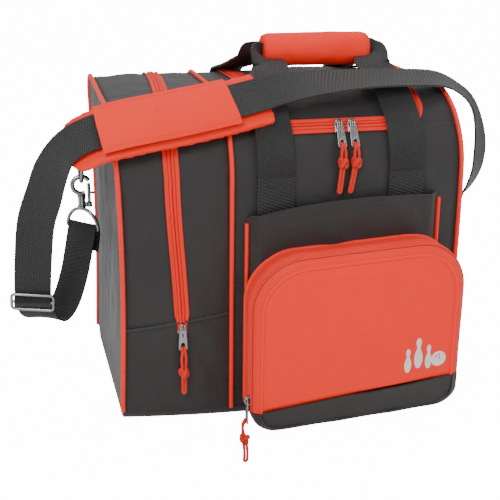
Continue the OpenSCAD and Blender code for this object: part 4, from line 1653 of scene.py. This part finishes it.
@dataclass
class Pull:
    """A zip slider with its tab, the doubled cord on it, the knot and the tail."""

    wardrobe: Wardrobe
    name: str
    bar: tuple[float, float, float]
    slider_turn: Matrix
    tab_turn: Matrix
    route: Sequence[tuple[float, float, float]]
    spread: Sequence[tuple[float, float, float]]
    knot_at: float = 21.0
    knot_r: float = 6.4
    strand_d: float = 3.0
    lay: str = "hanging"

    def slider(self) -> None:
        """The slider's body and the bridge that holds the tab's bar."""
        matrix = Matrix.Translation(Vector(self.bar) * MM) @ self.slider_turn
        bridge = [Vector((0, 3.0, 3.4)), Vector((0, 0.6, 3.3)), Vector((0, -1.6, 2.2)),
                  Vector((0, -2.2, 0)), Vector((0, -1.6, -2.4)), Vector((0, 0.6, -4.2)),
                  Vector((0, 3.0, -4.6))]
        parts = [
            block("body", (9.4, 2.9, 12.4), (0, 3.9, -2.4), 1.1),
            block("nose", (6.4, 2.7, 4.0), (0, 3.8, 4.2), 1.1),
            *(block(f"flange_{s}", (1.3, 3.4, 11.5), (s * 4.4, 4.6, -3.2), 0.5) for s in (-1, 1)),
            *(tube(f"bridge_{s}", [p + Vector((s * 1.15, 0, 0)) for p in catmull(bridge, 5)],
                   0.85) for s in (-1, 1)),
        ]
        obj = join(f"slider_{self.name}_metal", parts)
        obj.data.transform(matrix)
        self.wardrobe.dress(obj, NICKEL, Slot.NICKEL, f"slider_{self.name}", f"slider_{self.name}")

    def tab(self) -> None:
        """The flat tapered tab with an arched window for the cord."""
        matrix = Matrix.Translation(Vector(self.bar) * MM) @ self.tab_turn
        arc = quarter(6)
        right = [(2.6 - 1.6 + 1.6 * math.sin(a), 2.6 - 1.6 + 1.6 * math.cos(a)) for a in arc]
        right += [(2.6, -2), (3.2, -6), (3.9, -14), (4.2, -22)]
        right += [(4.2 - 2 + 2 * math.cos(a), -24 - 2 * math.sin(a)) for a in arc]
        outer = [*right, *((-x, z) for x, z in reversed(right))]
        eye = ellipse(0, 0, 1.15, 1.15, 20)
        window = [(2.4 * math.cos(math.pi * k / 12), -20.6 + 3.2 * math.sin(math.pi * k / 12))
                  for k in range(13)]
        window += [(-2.4, -23.4), (-1.8, -24.0), (1.8, -24.0), (2.4, -23.4)]
        slot = ellipse(0, -9.5, 0.9, 3.2, 20)
        obj = plate(f"tab_{self.name}_metal", outer, [eye, window, slot], 1.5, 0.45, matrix)
        self.wardrobe.dress(obj, NICKEL, Slot.NICKEL, f"tab_{self.name}", f"tab_{self.name}")

    def cords(self) -> None:
        """Two strands from the tab to the knot, the knot, and a closed tail."""
        body = f"tab_{self.name}"
        strands = {way: catmull([Vector(p) + Vector(s) * way for p, s in
                                 zip(self.route, self.spread)], 6) for way in (-1, 1)}
        middle = [mix(a, b, 0.5) for a, b in zip(strands[-1], strands[1])]
        marks = stations(middle)
        knot_at = along(middle, marks, self.knot_at)
        heading = along(middle, marks, self.knot_at + 2) - knot_at
        turn = heading.to_track_quat("Z", "Y").to_matrix().to_4x4()
        knot_at.z = max(knot_at.z, self.knot_r)
        path = []
        for k in range(96):
            t = math.tau * k / 96
            path.append(Vector((math.sin(t) + 2 * math.sin(2 * t),
                                math.cos(t) - 2 * math.cos(2 * t), -2.6 * math.sin(3 * t))))
        knot = tube(f"knot_{self.name}", [turn @ (p * 1.4) + knot_at for p in path],
                    2.1, closed=True, sides=4)
        self.wardrobe.dress(knot, BRAID, Slot.CORD, body)
        ends = [strands[-1][-1], strands[1][-1]]
        onward = (middle[-1] - middle[-3]).normalized()
        side = (ends[1] - ends[0]) / 2
        bend = [mix(*ends, 0.5) - side * math.cos(math.pi * k / 12)
                + onward * side.length * 1.25 * math.sin(math.pi * k / 12) for k in range(13)]
        tail = tube(f"tail_{self.name}", bend, self.strand_d / 2, sides=4)
        self.wardrobe.dress(tail, BRAID, Slot.CORD, body)
        for way, label in ((-1, "left"), (1, "right")):
            line = strands[way]
            strand = tube(f"cord_{self.name}_{label}", line, self.strand_d / 2, sides=4)
            self.wardrobe.dress(strand, BRAID, Slot.CORD, body, f"cord_{self.name}")

    def build(self) -> None:
        """Build the slider, tab and cords."""
        self.slider()
        self.tab()
        self.cords()


def turned(axis: str, degrees: float) -> Matrix:
    """A turn about one axis."""
    return Matrix.Rotation(math.radians(degrees), 4, axis)


def pulls(wardrobe: Wardrobe) -> list[Pull]:
    """The bag's four zip pulls."""
    hang = [(-118.6, 297.4), (-122.2, 293.4), (-123.6, 287), (-124, 280), (-124.2, 273),
            (-124.4, 264), (-124.8, 256), (-125.2, 249)]
    wide = [(w, 0, 0) for w in (1.5, 1.5, 2.3, 2.0, 1.6, 1.55, 1.55, 1.55)]
    found = []
    for name, x, lean in (("lid_left", 51, -1), ("lid_right", 65, -1.6)):
        found.append(Pull(
            wardrobe, name, (x, -106.9, 315.5), turned("X", -36), turned("X", -30),
            [(x + lean * max(0, k - 3) * 0.9, y, z) for k, (y, z) in enumerate(hang)], wide))
    down = [(-124.4, 91.8), (-127.6, 87), (-128, 80), (-128, 73), (-127.8, 66), (-127.6, 57),
            (-127.4, 49), (-127.2, 42)]
    found.append(Pull(
        wardrobe, "shoe", (-116.4, -124, 114), Matrix.Identity(4), Matrix.Identity(4),
        [(-116.4, y, z) for y, z in down], wide, 29.0))
    lying = [(-57.6, -160, 19), (-61.2, -160.6, 14), (-62, -164, 7.5), (-62.6, -172, 3.2),
             (-64, -182, 2), (-65.8, -192, 2), (-68, -201, 2), (-70.6, -210, 2)]
    shares = [clamp((-160 - y) / 10) for _, y, _z in lying]
    found.append(Pull(
        wardrobe, "pocket", (-57, -160, 41), turned("Z", -90), turned("Z", -90), lying,
        [(1.6 * t, 1.6 * (1 - t), 0) for t in shares], 28.0, lay="loose"))
    return found


@dataclass
class Hardware:
    """Rings, snap hooks and eyes at both ends of the bag."""

    wardrobe: Wardrobe
    ring_x: float = 203.0
    ring_z: float = 262.0
    ring_r: float = 21.0
    wire: float = 2.0
    eye_z: float = 189.0
    hook_r: float = 9.4
    hook_wire: float = 2.5
    hook_z: float = 236.5
    bolt_x: float = -8.1
    panel_x: float = 181.5

    def dee(self, name: str, side: int, z: float, up: int, turn: float = 0.0
            ) -> bpy.types.Object:
        """A D ring with its straight bar along Y, turned about Z, and its bow above or below."""
        x, r = side * self.ring_x, self.ring_r
        run = Vector((-side * math.sin(math.radians(turn)), math.cos(math.radians(turn)), 0))
        middle, rise = Vector((x, 0, z)), Vector((0, 0, up * r))
        bow = [middle + run * r * math.cos(a) + rise * math.sin(a)
               for a in (math.pi * k / 40 for k in range(41))]
        bar = [middle + run * r * (k / 6 - 1) for k in range(1, 12)]
        return tube(name, [*bow, *bar], self.wire, closed=True, sides=5)

    def hook(self, side: int) -> list[bpy.types.Object]:
        """Parts of the snap hook: loop, collar, swivel barrel and bolt guide."""
        x, r = side * self.ring_x, self.hook_r
        loop = [Vector((x + side * r * math.cos(a), 0, self.hook_z + r * math.sin(a)))
                for a in (math.radians(-115 + 265 * k / 48) for k in range(49))]

        def upright(name: str, dx: float, low: float, high: float,
                    radius: float) -> bpy.types.Object:
            """A short upright bar of the hook."""
            px = x + side * dx
            return barrel(name, Vector((px, 0, self.hook_z + low)),
                          Vector((px, 0, self.hook_z + high)), radius)

        return [
            tube("loop", loop, self.hook_wire, sides=5),
            upright("barrel", 0, -24.5, -9.5, 4.1),
            upright("collar", 0, -13.5, -11.5, 4.7),
            upright("foot", 0, -25.0, -22.5, 4.7),
            upright("guide", self.bolt_x, -24.5, -19.5, 3.2),
            block("web", (8.2, 3.4, 4.6), (x + side * self.bolt_x / 2, 0, self.hook_z - 22), 0.8),
        ]

    def tab(self, side: int, label: str) -> None:
        """Folded webbing that holds the ring, sewn to the end panel."""
        x, face, z = self.ring_x, self.panel_x, self.ring_z
        around = [(x + 3.6 * math.cos(math.radians(a)), z + 3.6 * math.sin(math.radians(a)))
                  for a in (225, 265, 305, 345, 25, 65, 100)]
        path = [(face, z + 46), (face + 0.2, z + 30), (face + 1.5, z + 16), (face + 9, z + 4),
                *around, (x - 9, z + 8), (face + 7, z + 18), (face + 3.4, z + 30),
                (face + 2.9, z + 46)]
        centre = catmull([(side * px, 0, pz) for px, pz in path], 4)
        across = [Vector((0, 1, 0))] * len(centre)
        obj = ribbon(f"ring_tab_{label}_webbing", centre, across, 30, 1.8, 10)
        self.wardrobe.dress(obj, BLACK_WEB, Slot.WEBBING, "bag", f"ring_tab_{label}")

    def build(self) -> None:
        """Build both sides."""
        for side, label in ((-1, "left"), (1, "right")):
            self.tab(side, label)
            ring = self.dee(f"ring_{label}_metal", side, self.ring_z, -1)
            self.wardrobe.dress(ring, NICKEL, Slot.NICKEL, f"ring_{label}", f"ring_{label}")
            hook = join(f"hook_{label}_metal", self.hook(side))
            self.wardrobe.dress(hook, NICKEL, Slot.NICKEL, f"hook_{label}", f"hook_{label}")
            eye = self.dee(f"eye_{label}_metal", side, self.eye_z, 1, -45 if side < 0 else 0)
            self.wardrobe.dress(eye, NICKEL, Slot.NICKEL, f"hook_{label}", f"eye_{label}")
            x = side * (self.ring_x + self.bolt_x)
            z = self.hook_z
            rod = barrel("rod", Vector((x, 0, z - 23)), Vector((x, 0, z + 1.6)), 1.9)
            stud = barrel("stud", Vector((x, 0, z - 9)), Vector((x - side * 5.5, 0, z - 9)), 1.4)
            bolt = join(f"bolt_{label}_metal", [rod, stud])
            self.wardrobe.dress(bolt, NICKEL, Slot.NICKEL, f"bolt_{label}", f"bolt_{label}")


# ---------------------------------------------------------------------------
# Shoulder strap
# ---------------------------------------------------------------------------


@dataclass
class Strap:
    """Webbing strap with its slide, return loop, pad and sleeve."""

    wardrobe: Wardrobe
    width: float = 38.0
    thick: float = 2.0
    pad_width: float = 62.0
    pad_thick: float = 7.0
    pad_first: int = 15
    pad_last: int = 20
    slide_at: tuple[float, float, float] = (-263.2, -46.9, 124)
    route: Route = field(
        default_factory=lambda: [
            ((214, 0, 183.5), (0.2, 0.98, 0)), ((204, 0, 185.6), (0.1, 0.99, 0)),
            ((199.6, 0, 189), (0.05, 0.99, 0)), ((203, 0, 192.4), (0.1, 0.98, 0)),
            ((222, 0, 190), (0.4, 0.92, 0)),
            ((246, -1, 198), (0.6, 0.8, 0)), ((262, -3, 226), (0.7, 0.72, 0)),
            ((262, -8, 258), (0.7, 0.7, 0.2)), ((250, -18, 294), (0.5, 0.8, 0.3)),
            ((226, -36, 324), (0.3, 0.92, 0.2)), ((184, -58, 348), (0.1, 0.95, 0.25)),
            ((130, -75, 355), (0, 0.95, 0.3)), ((80, -81, 356), (0, 0.93, 0.34)),
            ((30, -85, 354), (0, 0.86, 0.5)), ((-6, -90, 350), (0, 0.77, 0.62)),
            ((-30, -95, 346), (0, 0.73, 0.68)), ((-60, -102, 341), (0, 0.72, 0.7)),
            ((-110, -110, 334), (0, 0.7, 0.72)), ((-160, -114, 327), (0, 0.7, 0.72)),
            ((-200, -112, 318), (0, 0.7, 0.72)), ((-225, -105, 303), (-0.3, 0.72, 0.62)),
            ((-239, -94, 278), (-0.7, 0.6, 0.3)), ((-247, -82, 250), (-0.85, 0.5, 0.1)),
            ((-256, -68, 216), (-0.95, 0.3, 0)), ((-260.5, -57, 172), (-0.98, 0.2, 0)),
            ((-262.2, -49.5, 144), (-0.98, 0.2, 0)), ((-262.6, -45.8, 133.5), (-0.98, 0.2, 0)),
            ((-263.8, -49.2, 124), (-0.98, 0.2, 0)), ((-262.8, -45.5, 116.5), (-0.98, 0.2, 0)),
        ])
    loop: Route = field(
        default_factory=lambda: [
            ((-262.2, -42.6, 130), (-0.98, 0.2, 0)), ((-261, -40.6, 116), (-0.98, 0.2, 0)),
            ((-253, -34, 101), (-0.92, 0.4, 0)), ((-240, -24, 97), (-0.8, 0.6, 0)),
            ((-226, -14, 110), (-0.7, 0.71, 0)), ((-215, -7, 138), (-0.68, 0.73, 0)),
            ((-208, -4, 168), (-0.69, 0.72, 0)), ((-204.5, -2.5, 184), (-0.7, 0.71, 0)),
            ((-202.8, -0.4, 191.4), (-0.7, 0.71, 0)), ((-200.6, 2.2, 190), (-0.7, 0.71, 0)),
            ((-200.4, 2.6, 180), (-0.7, 0.71, 0)), ((-203.4, -0.6, 164), (-0.7, 0.71, 0)),
        ])

    def line(self, route: Sequence, steps: int) -> tuple[list[Vector], list[Vector]]:
        """Smooth centre line and width directions of a route."""
        return catmull([p for p, _ in route], steps), catmull([w for _, w in route], steps)

    def hem(self, name: str, centre: Sequence[Vector], across: Sequence[Vector], offset: float,
            lift: float) -> bpy.types.Object:
        """A row of stitches along a band, at an offset from its middle."""
        line = []
        for k in range(1, len(centre) - 1):
            run = (centre[k + 1] - centre[k - 1]).normalized()
            side = (across[k] - run * across[k].dot(run)).normalized()
            line.append(centre[k] + side * offset + side.cross(run) * lift)
        return stitching(name, line)

    def webbing(self) -> None:
        """The strap and its return loop."""
        centre, across = self.line(self.route, 8)
        strap = ribbon("strap_webbing", centre, across, self.width, self.thick, 14,
                       lambda o: -1.0 - 0.9 * math.cos(o / 12), steps=2)
        self.wardrobe.dress(strap, BLACK_WEB, Slot.WEBBING, None, "strap")
        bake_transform(strap)
        centre, across = self.line(self.loop, 8)
        loop = ribbon("strap_loop_webbing", centre, across, self.width, self.thick, 14,
                      lambda _o: -1.0, steps=2)
        self.wardrobe.dress(loop, BLACK_WEB, Slot.WEBBING, "bag", "strap_loop")

    def slide(self) -> None:
        """The three-bar slide, a rounded frame of wire and a bar across its middle."""
        wide, tall, r = 22.0, 9.0, 4.0
        corner = quarter(6)
        path = []
        for sx, sz, first in ((1, 1, 0), (-1, 1, 1), (-1, -1, 2), (1, -1, 3)):
            for a in corner:
                angle = a + first * math.pi / 2
                path.append(Vector((sx * (wide - r) + r * math.cos(angle), 0,
                                    sz * (tall - r) + r * math.sin(angle))))
        frame = tube("frame", path, 1.7, closed=True, sides=4)
        bar = tube("middle_bar", [Vector((-wide, 0, 0)), Vector((wide, 0, 0))], 1.4, sides=4)
        obj = join("adjuster_metal", [frame, bar])
        obj.data.transform(Matrix.Translation(Vector(self.slide_at) * MM)
                           @ turned("Z", -12) @ turned("X", 10) @ turned("Y", 4))
        self.wardrobe.dress(obj, NICKEL, Slot.NICKEL, "adjuster", "adjuster")

    def padding(self) -> None:
        """The pad under the strap and the sleeve over it."""
        part = self.route[self.pad_first - 1:self.pad_last + 1]
        part = [((-22.0, -93.0, 347.2), (0, 0.73, 0.68)), *part[1:-1],
                ((-230.0, -103.0, 300.0), (-0.3, 0.72, 0.62))]
        centre, across = self.line(part, 8)
        low = self.pad_thick / 2 + 2.3

        def width(u: float) -> float:
            """Width of the pad, rounded at both ends."""
            end = clamp(min(u, 1 - u) / 0.11)
            return self.pad_width * math.sqrt(max(0.02, 1 - (1 - end) ** 2.2))

        pad = ribbon("shoulder_pad_foam", centre, across, width, self.pad_thick, 20,
                     lambda o: -low - self.pad_thick / 2 - 0.0016 * o * o, steps=2)
        swell(pad, 2.2, 1.2, 1.0)
        self.wardrobe.dress(pad, PADDED_CLOTH, Slot.PADDING, "pad")
        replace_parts(pad, "shoulder_pad")
        cover = self.route[self.pad_first + 1:self.pad_last]
        cover = [*cover[:-1], ((-194.0, -112.4, 319.7), (0, 0.7, 0.72))]
        centre, across = self.line(cover, 8)

        def arch(o: float) -> float:
            """Height of the sleeve over the strap."""
            return 1.1 + 2.0 - 3.6 * clamp(abs(o) / 27) ** 4

        sleeve = ribbon("pad_sleeve_cloth", centre, across, 54, 2.4, 24, arch, steps=2)
        for vertex in sleeve.data.vertices:
            p = vertex.co / MM
            vertex.co += vertex.normal * MM * 0.5 * noise.noise(Vector(p) * 0.05)
        self.wardrobe.dress(sleeve, PADDED_CLOTH, Slot.PADDING, "pad")
        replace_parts(sleeve, "pad_sleeve")
        hems = [self.hem(f"sleeve_hem_{o}", centre, across, o, arch(o) + 1.3) for o in (-23, 23)]
        self.wardrobe.dress(join("sleeve_stitches", hems), ORANGE_THREAD, Slot.PADDING, "pad")

    def build(self) -> None:
        """Build the whole strap."""
        self.webbing()
        self.slide()
        self.padding()


# ---------------------------------------------------------------------------
# Inside, light and camera
# ---------------------------------------------------------------------------


def line_inside(frame: Frame, wardrobe: Wardrobe) -> None:
    """Give the frame's inner parts their finishes."""
    for node, finish, slot in (("divider_panel", BLACK_CLOTH, Slot.BLACK),
                               ("ball_cup", FOAM, Slot.FOAM)):
        obj = frame["nodes"][node]
        kind = Textile("lining", finish.light, finish.dark, from_uv=False) if isinstance(
            finish, Textile) else finish
        if kind.name not in wardrobe.made:
            wardrobe.made[kind.name] = kind.material()
        obj.data.materials.clear()
        obj.data.materials.append(wardrobe.made[kind.name])


@dataclass
class Studio:
    """White sweep, soft lights and the camera."""

    target: tuple[float, float, float] = (-0.014, 0.0, 0.148)
    azimuth: float = -14.5
    elevation: float = 19.0
    roll: float = 0.6
    lens: float = 72.5
    distance: float = 1.16
    white: float = 14.0

    def camera(self) -> None:
        """Place the camera."""
        a, e = math.radians(self.azimuth), math.radians(self.elevation)
        back = Vector((math.sin(a) * math.cos(e), -math.cos(a) * math.cos(e), math.sin(e)))
        data = bpy.data.cameras.new("view")
        data.lens = self.lens
        obj = bpy.data.objects.new("view", data)
        bpy.context.scene.collection.objects.link(obj)
        obj.location = Vector(self.target) + back * self.distance
        turn = (-back).to_track_quat("-Z", "Y").to_matrix().to_4x4()
        obj.rotation_mode = "QUATERNION"
        obj.rotation_quaternion = (turn @ Matrix.Rotation(math.radians(self.roll), 4, "Z")
                                   ).to_quaternion()
        bpy.context.scene.camera = obj

    def light(self, name: str, place: Sequence[float], size: float, power: float) -> None:
        """One soft light, turned to the bag."""
        data = bpy.data.lights.new(name, "AREA")
        data.size = size
        data.energy = power
        obj = bpy.data.objects.new(name, data)
        bpy.context.scene.collection.objects.link(obj)
        obj.location = place
        obj.rotation_mode = "QUATERNION"
        obj.rotation_quaternion = (Vector(self.target) - Vector(place)).to_track_quat("-Z", "Y")

    def build(self) -> None:
        """Build the floor, the world, the lights and the camera."""
        world = bpy.data.worlds.new("studio")
        world.use_nodes = True
        n = Nodes(world.node_tree)
        seen = n.add("ShaderNodeLightPath")
        power = n.maths("ADD", n.maths("MULTIPLY", seen.outputs["Is Camera Ray"], self.white), 0.55)
        n.link(power, world.node_tree.nodes["Background"].inputs[1])
        world.node_tree.nodes["Background"].inputs[0].default_value = (1, 1, 1, 1)
        bpy.context.scene.world = world
        bpy.ops.mesh.primitive_plane_add(size=12, location=(0, 2, -0.0005))
        floor = rename(bpy.context.object, "floor")
        paper = bpy.data.materials.new("white_sweep")
        paper.use_nodes = True
        shader = paper.node_tree.nodes["Principled BSDF"]
        shader.inputs["Base Color"].default_value = (0.95, 0.95, 0.95, 1)
        shader.inputs["Roughness"].default_value = 1.0
        shader.inputs["Emission Color"].default_value = (1, 1, 1, 1)
        n = Nodes(paper.node_tree)
        seen = n.add("ShaderNodeLightPath")
        glow = n.maths("MULTIPLY", seen.outputs["Is Camera Ray"], self.white)
        n.link(glow, shader.inputs["Emission Strength"])
        floor.data.materials.append(paper)
        self.light("key", (-1.3, -1.7, 1.9), 1.1, 44)
        self.light("fill", (1.8, -1.6, 0.9), 1.8, 16)
        self.light("top", (0.1, 0.4, 2.0), 1.2, 16)
        self.camera()


def main() -> None:
    """Build the bag around its frame."""
    logging.basicConfig(level=logging.INFO, format="%(name)s: %(message)s")
    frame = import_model()
    form = Form()
    wardrobe = Wardrobe()
    for part in (Shell(form, wardrobe), Zips(form, wardrobe), Pocket(form, wardrobe),
                 Handle(form, wardrobe), Hardware(wardrobe), Strap(wardrobe), *pulls(wardrobe)):
        log.info("building %s", type(part).__name__)
        part.build()
    line_inside(frame, wardrobe)
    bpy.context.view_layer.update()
    Studio().build()


if __name__ == "__main__":
    main()
